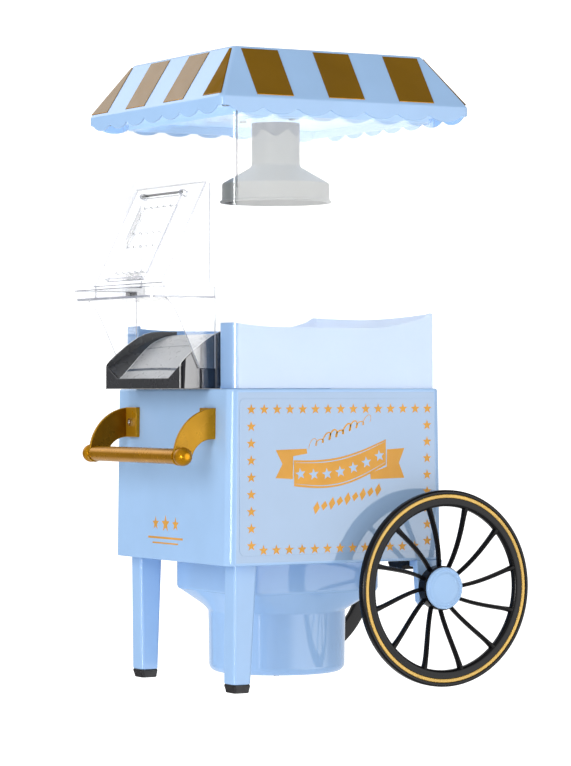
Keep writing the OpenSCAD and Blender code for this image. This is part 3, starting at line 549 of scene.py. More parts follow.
# ---- Printed film on the sides, and the mark on the front ----

FILM_X = 89.32


def star(cu, cv, outer=3.9, turn=0.0, inner=0.42):
    """Five-pointed star outline."""
    points = []
    for i in range(10):
        r = outer if i % 2 == 0 else outer * inner
        a = radians(90 + turn + 36 * i)
        points.append((cu + r * cos(a), cv + r * sin(a)))
    return points


def strip(top, bottom, low, high):
    """Raised band between two edges with the same number of points, standing on the film."""
    rings = [[yz(*a, low), yz(*a, high), yz(*b, high), yz(*b, low)] for a, b in zip(top, bottom)]
    return loft(rings, caps=(True, True))


def wave(u0, u1, v0, rise, swell, steps=16):
    """Slanted wavy edge."""
    out = []
    for i in range(steps + 1):
        t = i / steps
        out.append((u0 + (u1 - u0) * t, v0 + rise * t - swell * sin(pi * t)))
    return out


def stroke(points, width, low, high):
    """Thin raised line with tapered ends along points."""
    left, right = [], []
    for i, (u, v) in enumerate(points):
        a, b = points[max(0, i - 1)], points[min(len(points) - 1, i + 1)]
        du, dv = b[0] - a[0], b[1] - a[1]
        size = hypot(du, dv) or 1
        w = width / 2 * (0.25 + 0.75 * sin(pi * i / (len(points) - 1)))
        left.append((u - dv / size * w, v + du / size * w))
        right.append((u + dv / size * w, v - du / size * w))
    return strip(left, right, low, high)


def loops(u, v, length, tilt, size, turns, steps=140):
    """Line of slanting pen loops along a slant."""
    out = []
    for i in range(steps + 1):
        t = i / steps
        a = 2 * pi * turns * t
        tall = size * (0.75 + 0.25 * cos(a / 3))
        out.append((u + length * t - 1.5 * sin(a) + 0.3 * tall * (1 - cos(a)),
                    v + tilt * t + tall * (1 - cos(a))))
    return out


def lozenge(u, v, half_w, half_h, lean):
    return [(u - half_w, v), (u - lean, v - half_h), (u + half_w, v), (u + lean, v + half_h)]


def border_stars():
    """Places of the stars round the film."""
    top, bottom, across, down = 199.5, 100.6, 10.386, 11.93
    spots = [(-70.6 + across * i, top) for i in range(15)]
    spots += [(-70.7, top - down * i) for i in range(1, 9)]
    spots += [(74.5, top - down * i) for i in range(1, 9)]
    spots += [(-61.0 + across * i, bottom) for i in range(13)]
    return spots


def film_print():
    """Border of stars round a blank ribbon with flourishes above and below."""
    art = Shape()

    def ink(outline):
        art.join(plate(outline, FILM_X, FILM_X + 0.1, yz))

    for u, v in border_stars():
        ink(star(u, v))
    art.join(strip(wave(-36.4, 39.6, 163.6, 14, 5.2), wave(-36.2, 39.6, 145.2, 14.1, 7.2),
                   FILM_X, FILM_X + 0.1))
    ink([(-51, 170.9), (-26, 171.6), (-25.4, 168.2), (-36.9, 166.4), (-37.2, 150.3), (-51.2, 151.2),
         (-45.6, 161)])
    ink([(40.6, 170.4), (55.2, 171.2), (50.6, 160.6), (55.2, 149.8), (27, 149.2), (26.4, 153.5),
         (40.4, 158)])
    art.join(stroke(loops(-24, 171.6, 50, 18.5, 3.5, 9), 1.15, FILM_X, FILM_X + 0.08))
    for i in range(9):
        t = i / 8
        u, v = -18 + 51 * t, 129.6 + 12 * t
        ink(lozenge(u, v, 2.7, 4.6 if i % 2 == 0 else 3.4, 0.9))
    return art


def ribbon_cuts():
    """Fine pale lines, folds and stars left blank on the ribbon."""
    art = Shape()
    low, high = FILM_X + 0.06, FILM_X + 0.14
    for base, rise, swell, off in ((163.6, 14, 5.2, -1.7), (145.2, 14.1, 7.2, 1.7)):
        edge = wave(-35, 38.6, base, rise, swell, 24)
        art.join(stroke([(u, v + off) for u, v in edge], 0.7, low, high))
    for i in range(7):
        t = (i + 0.5) / 7
        u = -36.4 + 76 * t
        v = 154.2 + 14 * t - 6.2 * sin(pi * t)
        art.join(plate(star(u, v, 4.3, 8), low, high, yz))
    return art


film_base = plate(arc(77, 203, 4, 0, 90, 8) + arc(-76, 203, 4, 90, 180, 8) + arc(-76, 101, 4, 180, 270, 8)
                  + arc(77, 101, 4, 270, 360, 8), 88.98, FILM_X, yz)
for hand, flip in HANDS:
    piece("film_" + hand, flip(film_base), "film", "base", ["decal_" + hand], bevel=0.12)
    piece("print_" + hand, flip(film_print()), "print", "base")
    piece("ribbon_lines_" + hand, flip(ribbon_cuts()), "film", "base")


def front_mark():
    """Three stars over two lines, low on the front."""
    art = Shape()

    def front(u, v, w):
        return (u, -wall_y(v) - w, v)

    for u, size in ((-22, 5.2), (-6.5, 6.4), (9, 5.2)):
        art.join(plate(star(u, 116.4, size), -0.05, 0.08, front))
    for z, half, h in ((106.2, 27, 1.5), (102.4, 20, 1.1)):
        left, right, low, high = -6.5 - half, -6.5 + half, z - h / 2, z + h / 2
        line = [(left, low), (right, low), (right, high), (left, high)]
        art.join(plate(line, -0.05, 0.08, front))
    return art


piece("front_mark", front_mark(), "print", "base")


# ---- Well, legs and axle posts ----

AXLE_BACK, WHEEL_R = 77.2, 70.6


def on_axle(shape):
    """Moves a shape turned about Z to the right wheel's axle."""
    return shape.moved(lambda p: (p[2], p[0] + AXLE_BACK, p[1] + WHEEL_R))


def build_well():
    """Square well that narrows to the round cup under it, outside and inside."""
    def square(half, r, z):
        return rect_ring(half, -half, half, r, z, 12, 14)

    rings = [square(56, 12, 93), square(58, 14, 93), square(58, 14, 69), square(57.3, 13.5, 67.4)]
    rings += [square(56.9, 13.2, 66.7), square(56.1, 12.8, 66.4)]
    flat, round_ring = square(56.1, 12.8, 66.4), circle_like(square(54, 13, 0), 50.8, 52.2)
    for i in range(1, 9):
        t = i / 9
        rings.append([tuple(a[k] + (b[k] - a[k]) * t for k in range(3)) for a, b in zip(flat, round_ring)])
    guide = square(54, 13, 0)
    cup = [(50.8, 52.2), (50.55, 51.6), (50.4, 50.6), (49.9, 13)]
    cup += arc(43.9, 13, 6, -10, -90, 8)
    cup += [(36.6, 7), (36, 7.5), (36, 9), (46, 9), (47.6, 50), (52, 66)]
    rings += [circle_like(guide, r, z) for r, z in cup]
    piece("well", loft(rings, loop=True), "well", "base", ["base_housing"], angle=24)


def tapered_post(z0, foot, top, r=2.4):
    """Leg from its foot rectangle to its top rectangle, with soft upright edges."""
    rings = []
    for t, inset in ((0, 0.7), (0.004, 0.25), (0.012, 0), (0.5, 0), (1, 0)):
        a = [p + (q - p) * t for p, q in zip(foot, top)]
        z = z0 + (90 - z0) * t
        rings.append(rect_ring(a[1] - inset, a[2] + inset, a[3] - inset, r, z, 6, 2, x0=a[0] + inset))
    return loft(rings, caps=(True, True))


def build_legs():
    """Front legs with their shoes, and the posts that carry the axles behind."""
    leg = tapered_post(6.05, (63, 79, -79.3, -65.2), (65, 80.5, -79.3, -60.8))
    post = [(AXLE_BACK - 11, 90), (AXLE_BACK - 8.8, 60), (AXLE_BACK - 6.6, 57.5), (AXLE_BACK + 7.4, 57.5),
            (AXLE_BACK + 9.2, 60), (AXLE_BACK + 10.6, 90)]
    post = plate(post, 82, 88.6, yz)
    post.join(plate([(68.2, 85), (84.2, 85), (84.2, BODY_Z), (68.2, BODY_Z)], 75, 83, yz))
    boss = [(3.05, 77), (5.6, 77), (6, 77.4), (6, 83), (3.05, 83)]
    shoe = loft([rect_ring(78.1 - i, -78.4 + i, -65.7 - i, r, z, 6, 1, x0=63.6 + i) for i, r, z in (
        (0.6, 2, 0), (0.1, 2, 0.5), (0, 2.2, 1.6))] + [
        rect_ring(79 - i, -79.3 + i, -65.2 - i, 2.4, z, 6, 1, x0=63 + i) for i, z in (
            (0, 4.9), (0.05, 5.6), (0.4, 6))], caps=(True, True))
    for hand, flip in HANDS:
        piece("front_leg_" + hand, flip(leg), "blue", "base", ["leg_" + hand])
        piece("axle_post_" + hand, flip(post), "blue", "base", ["axle_bracket_" + hand],
              bevel=0.7)
        piece("axle_boss_" + hand, flip(on_axle(spin(boss, 48))), "blue", "base")
        piece("front_shoe_" + hand, flip(shoe), "rubber", "base", ["foot_" + hand])


build_well()
build_legs()


# ---- Wheels ----

def spoke_shape(angle):
    """One spoke: a deep thin bar that leaves the hub at a slant, bends, and swells into the rim."""
    steps, sides = 16, 12
    rings = []
    for i in range(steps + 1):
        s = i / steps
        r = 14.5 + (60 - 14.5) * s
        a = radians(angle + 11 * (1 - s) ** 1.5)
        x = 101.2 + (108.3 - 101.2) * sin(pi / 2 * s)
        half_w = 1.5 + 0.25 * s + 0.5 * max(0, s - 0.85) / 0.15
        half_t = 2.5 + 0.3 * s
        ring = []
        for j in range(sides):
            b = 2 * pi * j / sides
            across, deep = half_w * cos(b), half_t * sin(b)
            u = r * sin(a) + across * cos(a)
            v = r * cos(a) - across * sin(a)
            ring.append((u, v, x + deep))
        rings.append(ring)
    return loft(rings, caps=(True, True))


def build_wheels():
    """Tyre, rim, spokes and hub in one black piece, with a gold ring and a cap."""
    tyre = [(WHEEL_R, 107.2), (WHEEL_R, 110.2), (70.2, 111.0), (69.4, 111.5), (68.4, 111.5),
            (67.8, 111.2), (67.5, 110.6), (64.9, 110.6), (64.6, 111.1)]
    tyre += [(61.6 + 2.9 * x, 109 + 2.4 * y) for x, y in arc(0, 0, 1, 60, 180, 8)]
    tyre += [(58.6, 107.2), (59.1, 106), (60.6, 105.3), (64, 105.1), (68.6, 105.1), (69.9, 105.4),
             (70.5, 106.2)]
    black = on_axle(spin(tyre, 144))
    for i in range(12):
        black.join(on_axle(spoke_shape(17.2 + 30 * i)))
    hub = [(3.05, 97.5), (14.8, 97.5), (15.6, 97.8), (16, 98.5), (16, 106.3), (15.6, 106.9), (9.5, 107),
           (9.5, 103.4), (3.05, 103.4)]
    black.join(on_axle(spin(hub, 96)))
    gold = on_axle(spin([(67.45, 110.5), (67.45, 110.95), (67.05, 111.2), (65.35, 111.2), (64.95, 110.95),
                         (64.95, 110.5)], 144))
    cap = [(7.5, 105), (9, 105), (9, 107.05), (14.6, 107.05), (15, 107.3), (15, 108.5), (14.8, 109.0),
           (14.3, 109.4), (13.4, 109.5), (12.9, 109.1), (12.5, 109.1), (11, 109.6), (10.6, 109.9),
           (10, 110.15), (6, 110.6), (3, 110.85), (0.01, 110.9), (0.01, 108), (7.5, 107.6)]
    cover = on_axle(spin(cap, 96))
    for hand, flip in HANDS:
        body = "wheel_" + hand
        piece("cart_wheel_" + hand, flip(black), "tyre", body, ["wheel_" + hand])
        piece("wheel_ring_" + hand, flip(gold), "ring", body)
        piece("wheel_cap_" + hand, flip(cover), "cap", body, ["hub_cap_" + hand])


build_wheels()


# ---- Handle ----

BAR_Y, BAR_Z = -115.8, 166.8


def build_handle():
    """Two curved brackets with their flanges, and the bar with its ball ends."""
    outline = arc(-86.5, BAR_Z, 33.8, 90, 180 + 3, 20)
    outline += arc(BAR_Y, BAR_Z, 6.4, 200, 345, 12)
    outline += arc(-90, 162.1, 16.5, 168, 90, 12)
    outline += [(-86.5, 178.6)]
    web = plate(outline, 65.5, 68, yz)
    # The web's inner face takes the darker gold of painted shade.
    web.marks[0] = 1
    flange = plate([(-90.6, 178.6), (-87.3, 178.6), (-86.9, 200.6), (-90.6, 200.6)], 49.5, 66.5, yz)
    bracket = Shape().join(web).join(flange)
    for hand, flip in HANDS:
        piece("handle_bracket_" + hand + "_web", flip(bracket), ["gold_plate", "gold_painted_shade"], "base",
              ["handle_bracket_" + hand], bevel=0.6, segments=3)
    end = [(0.01, 65.4), (4.9, 65.4), (5.4, 65.1), (5.5, 64.4), (5.5, 20)]
    rod = spin([(r, -h) for r, h in end] + end[::-1], 48, loop=False)
    knob = [(0.01, 67.6), (5.0, 67.6), (5.3, 67.9), (5.2, 68.3)]
    knob += arc(0, 72.5, 6.6, -40, 86, 14) + [(0.01, 79.1)]
    shape = rod.moved(turned).join(both(spin(knob, 48, loop=False).moved(turned)))
    shape = shape.moved(lambda p: (p[0], p[1] + BAR_Y, p[2] + BAR_Z))
    piece("handle_grip", shape, "gold", "base", ["handle_bar"])


build_handle()


# ---- Tub and chute ----

TUB_HX, TUB_FRONT, TUB_BACK = 85, 81.2, 84.6
CHUTE_HX, CHUTE_OUT = 59.5, 110.6


def tub_height(x, y):
    """Top edge of the tub: sagging sides that sweep up to the back."""
    if y > TUB_BACK - 6:
        return DECK_Z + 54.6 - 3 * cos(pi / 2 * min(1, abs(x) / TUB_HX))
    u = (y + TUB_FRONT) / (TUB_FRONT + TUB_BACK)
    return (DECK_Z + 43.6 + 3 * max(0, 1 - 4 * u) ** 2
            + 11 * max(0, (u - 0.66) / 0.34) ** 2 * (1.6 - 0.6 * u))


def build_tub():
    """Tub wall, open at the chute, and its floor with a hole over the chamber."""
    outer = rect_ring(TUB_HX, -TUB_FRONT, TUB_BACK, 5, 0, 8, 30)
    inner = rect_ring(TUB_HX - 2, -TUB_FRONT + 2, TUB_BACK - 2, 3.2, 0, 8, 30)
    keep = [i for i, (x, y, _) in enumerate(outer) if not (y < -TUB_FRONT + 0.01 and abs(x) < 60)]
    start = next(i for i in keep if (i - 1) % len(outer) not in keep)
    order = [(start + k) % len(outer) for k in range(len(keep))]
    sections = []
    for i in order:
        (ox, oy, _), (ix, iy, _) = outer[i], inner[i]
        top = tub_height(ox, oy)
        mx, my = (ox + ix) / 2, (oy + iy) / 2

        def blend(t):
            return ox + (ix - ox) * t, oy + (iy - oy) * t

        sections.append([
            (ox, oy, DECK_Z + 0.1), (ox, oy, top - 0.7), (*blend(0.15), top - 0.2), (mx, my, top),
            (*blend(0.85), top - 0.2), (ix, iy, top - 0.7), (ix, iy, DECK_Z + 2)])
    wall = loft(sections, ring_closed=True, caps=(True, True))
    floor_ring = [rect_ring(83.2, -47.4, 82.8, 3, DECK_Z + z, 8, 10) for z in (0.1, 2)]
    hole = [circle_like(floor_ring[0], 43, DECK_Z + z) for z in (2, 0.1)]
    floor = loft([floor_ring[0], floor_ring[1], hole[0], hole[1]], loop=True)
    strips = both(box(60, 83.2, -79.4, -47.4, DECK_Z + 0.1, DECK_Z + 2))
    # The tub's look carries painted light: a lighter blue and a faint glow.
    piece("tub_wall", wall, "tub", "base", ["liner_tub"])
    piece("tub_floor", floor.join(strips), "tub", "base")


def ramp_at(u):
    """Depth and height of the slide at a share of its run from the lip."""
    return (-CHUTE_OUT + 1 + (CHUTE_OUT - 53) * u, DECK_Z + 7 + 33 * sin(pi / 2 * u) ** 1.15)


def build_chute():
    """Side walls and front lip of the chute."""
    back = -52
    top = [(0, 16.5), (0.6, 18.2), (3, 20.8), (8, 25.2), (14, 29.9), (20, 34.2), (26.5, 38.2),
           (32, 40.6), (38, 42), (46, 42.6)]
    side = [(-CHUTE_OUT, DECK_Z + 0.1)] + [(d - CHUTE_OUT, DECK_Z + h) for d, h in top]
    side += [(back, DECK_Z + 42.6), (back, DECK_Z + 0.1)]
    walls = plate(side, CHUTE_HX - 2, CHUTE_HX, yz)
    # Inner faces get the painted dark reflection, outer faces the painted reflection bands, narrow faces
    # the painted highlight.
    walls.marks = [1, 0] + [2] * len(side)
    piece("chute_walls", both(walls), ["chute_side", "charcoal", "bright"], "base", ["chute"],
          bevel=0.5, segments=3)
    half = [(CHUTE_HX, 0.1), (CHUTE_HX, 16.5), (57.4, 16.5), (40, 7.6)]
    notch = [(-CHUTE_HX, 0.1)] + half + [(-x, z) for x, z in half[:0:-1]]
    lip = plate([(x, DECK_Z + z) for x, z in notch], 0.02 - CHUTE_OUT, 1.8 - CHUTE_OUT, xz)
    foot = box(-CHUTE_HX + 2, CHUTE_HX - 2, 1.8 - CHUTE_OUT, -77, DECK_Z + 0.5, DECK_Z + 2)
    # The lip is painted near-black as a dark reflection.
    piece("chute_lip", lip.join(foot), "charcoal", "base", bevel=0.4, segments=3)


def build_ramp():
    """Slide painted grey for the studio its chrome mirrors, between flared sides painted near-black as a
    dark reflection, with two seams across it and a painted highlight line at each crease.
    """
    rows = [i / 30 for i in range(31)] + [0.145, 0.155, 0.495, 0.505]
    rows.sort()
    edge, line = 57.45, 0.9
    over, under, marks = [], [], []
    for u in rows:
        flat = 40 + 16.4 * min(1, u / 0.62)
        climb = 9 * (1 - u) ** 1.3
        half = [edge - (edge - flat) * k / 5 for k in range(6)] + [flat - line]
        xs = half + [(flat - line) * (1 - k / 8) for k in range(1, 16)] + [-x for x in half[::-1]]
        row = []
        for x in xs[::-1]:
            bow = 0.05 * cos(pi * x / 118) * 4 * u * (1 - u)
            y, z = ramp_at(u + bow)
            rise = max(0, abs(x) - flat) / (57.5 - flat)
            row.append((x, y, z + climb * rise ** 1.25))
        over.append(row)
        under.append([(x, y + 0.8, z - 1.6) for x, y, z in row[::-1]])
    for low, high in zip(rows, rows[1:]):
        seam = high - low < 0.012
        for k in range(len(over[0])):
            across = k if k < len(over[0]) / 2 else len(over[0]) - 2 - k
            # Flared sides and underside get the painted dark reflection, the creases the painted highlight.
            marks.append(1 if across < 5 else 3 if across == 5 else 2 if seam else 0)
        marks += [1] * len(over[0])
    trough = loft([a + b for a, b in zip(over, under)], caps=(True, True))
    trough.marks = marks + [1, 1]
    piece("chute_ramp", trough, ["satin", "charcoal", "seam", "bright"], "base")


build_tub()
build_chute()
build_ramp()


# ---- Clear cabinet ----

CAB_Z, CAB_TOP = 214.4, 412
DOOR_X, DOOR_WIDE_X, DOOR_STEP_Z, DOOR_TOP = 51, 60.8, 278, 355


def cabinet_ring(inset, z, breaks):
    """Outline of the cabinet's walls, anticlockwise from the front's middle, with given x breaks."""
    t = (z - CAB_Z) / (CAB_TOP - CAB_Z)
    hx, y0, y1 = 88 - 1.5 * t - inset, -84 + 0.6 * t + inset, 88 - 3 * t - inset
    r = 4 - inset / 2
    front = [(x, y0) for x in breaks]
    right = arc(hx - r, y0 + r, r, -90, 0, 10)
    sides = [(hx, y0 + r + (y1 - y0 - 2 * r) * k / 8) for k in range(1, 8)]
    rear = arc(hx - r, y1 - r, r, 0, 90, 10)
    half = front + right + sides + rear
    back = [((hx - r) * (1 - k / 4), y1) for k in range(1, 4)]
    full = half + back + [(0, y1)]
    mirror = [(-x, y) for x, y in full[::-1][1:-1]]
    loop = full + mirror
    return [(x, y, z) for x, y in loop], len(front), len(right), len(sides), len(rear)


def build_cabinet():
    """Four clear walls with the door's opening in front, and looks for their corners and cut edges."""
    breaks = [0, 25, DOOR_X, DOOR_WIDE_X]
    heights = [CAB_Z, 215.2, 246, DOOR_STEP_Z, 316, DOOR_TOP, 384, 411.3, CAB_TOP]
    outer, inner = [], []
    for z in heights:
        ring, n_front, n_right, n_sides, n_rear = cabinet_ring(0, z, breaks)
        outer.append(ring)
        inner.append(cabinet_ring(2, z, breaks)[0])
    count = len(outer[0])
    corner = set()
    for start, size in ((n_front, n_right), (n_front + n_right + n_sides, n_rear)):
        for i in range(start, start + size - 1):
            corner |= {i, count - 1 - i}

    def is_open(j, i):
        middle = (heights[i] + heights[i + 1]) / 2
        x = abs((outer[0][j][0] + outer[0][(j + 1) % count][0]) / 2)
        if outer[0][j][1] > -83 or middle > DOOR_TOP:
            return False
        return x < DOOR_X or (x < DOOR_WIDE_X and middle < DOOR_STEP_Z)

    shape = Shape()
    shape.verts = [p for ring in outer for p in ring] + [p for ring in inner for p in ring]
    base = len(heights) * count

    def face(ids, mark):
        shape.faces.append(ids)
        shape.marks.append(mark)

    near = n_front + n_right - 2
    rows = len(heights) - 1
    for i in range(rows):
        for j in range(count):
            k = (j + 1) % count
            if is_open(j, i):
                continue
            a, b, c, d = i * count + j, i * count + k, (i + 1) * count + k, (i + 1) * count + j
            # Side walls take the look whose milky layer is a painted sheen.
            along_side = abs(outer[0][j][0]) > 87 and abs(outer[0][k][0]) > 87
            # Corner columns take the look with a painted glowing outline.
            mark = 2 if j in corner else 3 if along_side else 0
            high = heights[i] >= DOOR_TOP
            # The near corner's outer faces get a painted grey line, darker above the door.
            line = mark
            if j == near:
                line = 5 if high else 4
            if high and j == near - 1:
                line = 5
            face((a, b, c, d), line)
            face((base + d, base + c, base + b, base + a), mark)
            if i == 0 or is_open(j, i - 1):
                face((a, base + a, base + b, b), 1)
            if i == rows - 1 or is_open(j, i + 1):
                face((d, c, base + c, base + d), 1)
            if is_open((j - 1) % count, i):
                face((a, d, base + d, base + a), 1)
            if is_open(k, i):
                face((b, base + b, base + c, c), 1)
    looks = ["wall", "cut", "corner", "side_wall", "corner_painted_line", "corner_painted_dark_line"]
    piece("cabinet_walls", shape, looks, "cabinet", ["cabinet"], weighted=False, angle=35)


build_cabinet()


# ---- Door unit: shelf, cheeks, leaning panel and flap ----

SHELF_Z, SHELF_OUT, SHELF_HX, CAB_FRONT = 286, 136.8, 62, 84
WALL_FACE = -CAB_FRONT - 0.05
HINGE_UP, HINGE_OUT = 71.5, 4.2   # the flap's pin, along the panel and out of it
PANEL_FOOT, PANEL_HEAD, PANEL_HX = (-122, 288.5), (-86.6, 360), 54
PANEL_LEN = dist(PANEL_FOOT, PANEL_HEAD)
PANEL_DIR = ((PANEL_HEAD[0] - PANEL_FOOT[0]) / PANEL_LEN, (PANEL_HEAD[1] - PANEL_FOOT[1]) / PANEL_LEN)


def on_panel(u, s, n):
    """Point across, up and out of the leaning panel."""
    dy, dz = PANEL_DIR
    return (u, PANEL_FOOT[0] + s * dy - n * dz, PANEL_FOOT[1] + s * dz + n * dy)


def tray_path(inset):
    """Line round the shelf's rim from its right back end to its left back end."""
    hx, y0, r = SHELF_HX - inset, -SHELF_OUT + inset, 7 - inset * 0.9
    half = [(hx, WALL_FACE - (SHELF_OUT - CAB_FRONT - 8) * k / 6) for k in range(7)]
    half += arc(hx - r, y0 + r, r, 0, -90, 9) + [(0, y0)]
    return half + [(-x, y) for x, y in half[::-1][1:]]


def gridded(us, vs, is_hole, low, high, to3d, lipped=None):
    """Sheet of cells with openings; marks 0 on its faces and 1 on its edges. With lipped, the edges of
    slots are left plain and the cells it picks are marked 2."""
    shape = Shape()
    ids = {}

    def vert(i, j, w):
        key = (i, j, w)
        if key not in ids:
            ids[key] = len(shape.verts)
            shape.verts.append(to3d(us[i], vs[j], high if w else low))
        return ids[key]

    def shut(i, j):
        if not (0 <= i < len(us) - 1 and 0 <= j < len(vs) - 1):
            return True
        return is_hole((us[i] + us[i + 1]) / 2, (vs[j] + vs[j + 1]) / 2)

    def face(corners, mark):
        shape.faces.append(tuple(vert(*c) for c in corners))
        shape.marks.append(mark)

    for i in range(len(us) - 1):
        for j in range(len(vs) - 1):
            if shut(i, j):
                continue
            lip = 2 if lipped and lipped((us[i] + us[i + 1]) / 2, (vs[j] + vs[j + 1]) / 2) else 0
            face(((i, j, 1), (i + 1, j, 1), (i + 1, j + 1, 1), (i, j + 1, 1)), lip)
            face(((i, j, 0), (i, j + 1, 0), (i + 1, j + 1, 0), (i + 1, j, 0)), lip)
            for di, dj, p, q in ((-1, 0, (i, j), (i, j + 1)), (1, 0, (i + 1, j), (i + 1, j + 1)),
                                 (0, -1, (i, j), (i + 1, j)), (0, 1, (i, j + 1), (i + 1, j + 1))):
                if shut(i + di, j + dj):
                    inner = lipped and 0 <= i + di < len(us) - 1 and 0 <= j + dj < len(vs) - 1
                    face(((*p, 0), (*q, 0), (*q, 1), (*p, 1)), 1 if not inner else 2 if dj else 0)
    return shape


def edged_plate(outline, low, high, to3d):
    """Flat clear plate whose narrow sides get the edge look."""
    shape = plate(outline, low, high, to3d)
    shape.marks = [0, 0] + [1] * len(outline)
    return shape


def rim_wall(low, high, thick):
    """Upright rim that follows the shelf's outline, its top and ends with the edge look."""
    sections = []
    for (ox, oy), (ix, iy) in zip(tray_path(0), tray_path(thick)):
        sections.append([(ox, oy, low), (ox, oy, low + 0.6), (ox, oy, high - 0.6), (ox, oy, high),
                         (ix, iy, high), (ix, iy, high - 0.6), (ix, iy, low)])
    shape = loft(sections, ring_closed=True, caps=(True, True))
    shape.marks = [0, 0, 1, 1, 1, 0, 0] * (len(sections) - 1) + [1, 1]
    return shape


def build_tray():
    """Shelf with its rim, on two curved cheeks."""
    thick = 1.8
    tray = rim_wall(SHELF_Z - 8, SHELF_Z, thick)
    tray.join(edged_plate(tray_path(thick), SHELF_Z - 8, SHELF_Z - 8 + thick, xy))
    cheek = []
    for i in range(25):
        u = i / 24
        cheek.append((-CAB_FRONT - 12.3 - 22.6 * u - 4.1 * u ** 10, 228.5 + 49.5 * u))
    cheek += [(-124, 278.4), (WALL_FACE, 278.4), (WALL_FACE, 228.5)]
    tray.join(both(edged_plate(cheek, SHELF_HX - thick, SHELF_HX, yz)))
    piece("door_tray", tray, ["sheet", "rim"], "cabinet", ["door_shelf"], weighted=False)


def build_panel():
    """Leaning frame with its two wings, the skirt under it and the ears that hold the flap's pin."""
    thick, hole_x, hole_low, hole_high = 1.8, 25, 9, 63
    us, vs = [-PANEL_HX, -hole_x, 0, hole_x, PANEL_HX], [0, hole_low, 36, hole_high, PANEL_LEN]
    panel = gridded(us, vs, lambda u, v: abs(u) < hole_x and hole_low < v < hole_high, 0, thick, on_panel)
    wing = [PANEL_FOOT, PANEL_HEAD, (WALL_FACE, PANEL_HEAD[1]), (WALL_FACE, PANEL_FOOT[1])]
    panel.join(both(edged_plate(wing, PANEL_HX - thick, PANEL_HX, yz)))
    skirt = [(-122, 279.8), (-120.2, 279.8), (-120.2, 289.2), (-121.6, 289.2)]
    panel.join(plate(skirt, -PANEL_HX, PANEL_HX, yz), [1, 1, 1, 0, 1, 0])
    ear = [(-1.9, 0.5), (1.9, 0.5)] + arc(0, HINGE_OUT, 1.9, 0, 180, 12)
    panel.join(both(edged_plate(ear, 29.5, 32.5, lambda u, v, w: on_panel(w, HINGE_UP + u, v))))
    piece("door_front", panel, ["sheet", "rim"], "cabinet", ["door_panel"], weighted=False)


def build_flap():
    """Slotted leaf with the barrel that turns on the pin, and a finger lip along its foot."""
    half_w, half_slot, lip = 29, 1.1, 1.4
    slots, rows = (-20, -10, 0, 10, 20), ((9, 29), (41, 61))
    us = sorted([-half_w, half_w] + [x + d for x in slots for d in (-half_slot, half_slot)])
    vs = [2, 69.8] + [v for low, high in rows for v in (low - lip, low, high, high + lip)]

    def in_column(u):
        return any(abs(u - x) < half_slot for x in slots)

    def slotted(u, v):
        return in_column(u) and any(low < v < high for low, high in rows)

    def lipped(u, v):
        return in_column(u) and any(low - lip < v < low or high < v < high + lip for low, high in rows)

    leaf = gridded(us, sorted(vs), slotted, 2.2, 3.8, on_panel, lipped)
    barrel = spin([(1.0, -half_w), (1.9, -half_w), (1.9, half_w), (1.0, half_w)], 20, mark=3)
    leaf.join(barrel.moved(lambda p: on_panel(p[2], HINGE_UP + p[0], HINGE_OUT + p[1])))
    grip = [(-half_w, 2), (half_w, 2), (half_w, 3.4), (-half_w, 3.4)]
    leaf.join(plate(grip, 3.8, 6, on_panel), [0, 1, 0, 1, 0, 1])
    piece("door_flap", leaf, ["sheet", "rim", "slot_end", "thin"], "flap", ["flap"],
          weighted=False)


build_tray()
build_panel()
build_flap()


# ---- Roof and hood ----

EAVE_HX, EAVE_HY, CROWN_H = 104, 102, 79     # half sizes at the eaves and at the flat top
SLOPE_Z, SLOPE_TOP, ROOF_TOP = 418.4, 453.6, 455
FOLD, SKIN = 0.95, 2                         # inset where the slopes start, and the roof's thickness
CUSP_Z, LOBE, SCALLOPS, CORNER_STEPS, SIDE_STEPS = 410, 4.6, 7, 6, 84


def scallop(t):
    """Height of the valance's edge at a share of its side."""
    inset = 0.012
    s = (t - inset) / (1 - 2 * inset)
    if not 0 < s < 1:
        return CUSP_Z + 0.3
    u = (s * SCALLOPS) % 1 * 2 - 1
    return CUSP_Z - LOBE * (1 - abs(u) ** 2.4) + 0.25


def roof_ring(hx, hy, r, z):
    return rect_ring(hx, -hy, hy, r, z, CORNER_STEPS, SIDE_STEPS)


def flat_ring(half, r, z):
    """Square outline in the flat top."""
    return roof_ring(half, half, r, z)


def eave_ring(inset, r, z):
    return roof_ring(EAVE_HX - inset, EAVE_HY - inset, r, z)


def valance_ring(inset, r, lift):
    """Outline of the eaves whose heights follow the scallops."""
    ring = []
    for i, (x, y, _) in enumerate(eave_ring(inset, r, 0)):
        step = max(0, i % (CORNER_STEPS + SIDE_STEPS) - CORNER_STEPS)
        ring.append((x, y, scallop(step / SIDE_STEPS) + lift))
    return ring


def slope_ring(t, drop=0.0, inset=0.0):
    """Outline of the slopes at a share of their height."""
    hx, hy = EAVE_HX - FOLD, EAVE_HY - FOLD
    return roof_ring(hx + (CROWN_H - hx) * t - inset, hy + (CROWN_H - hy) * t - inset, 4 - t * 0.6,
                     SLOPE_Z + (SLOPE_TOP - SLOPE_Z) * t - drop)


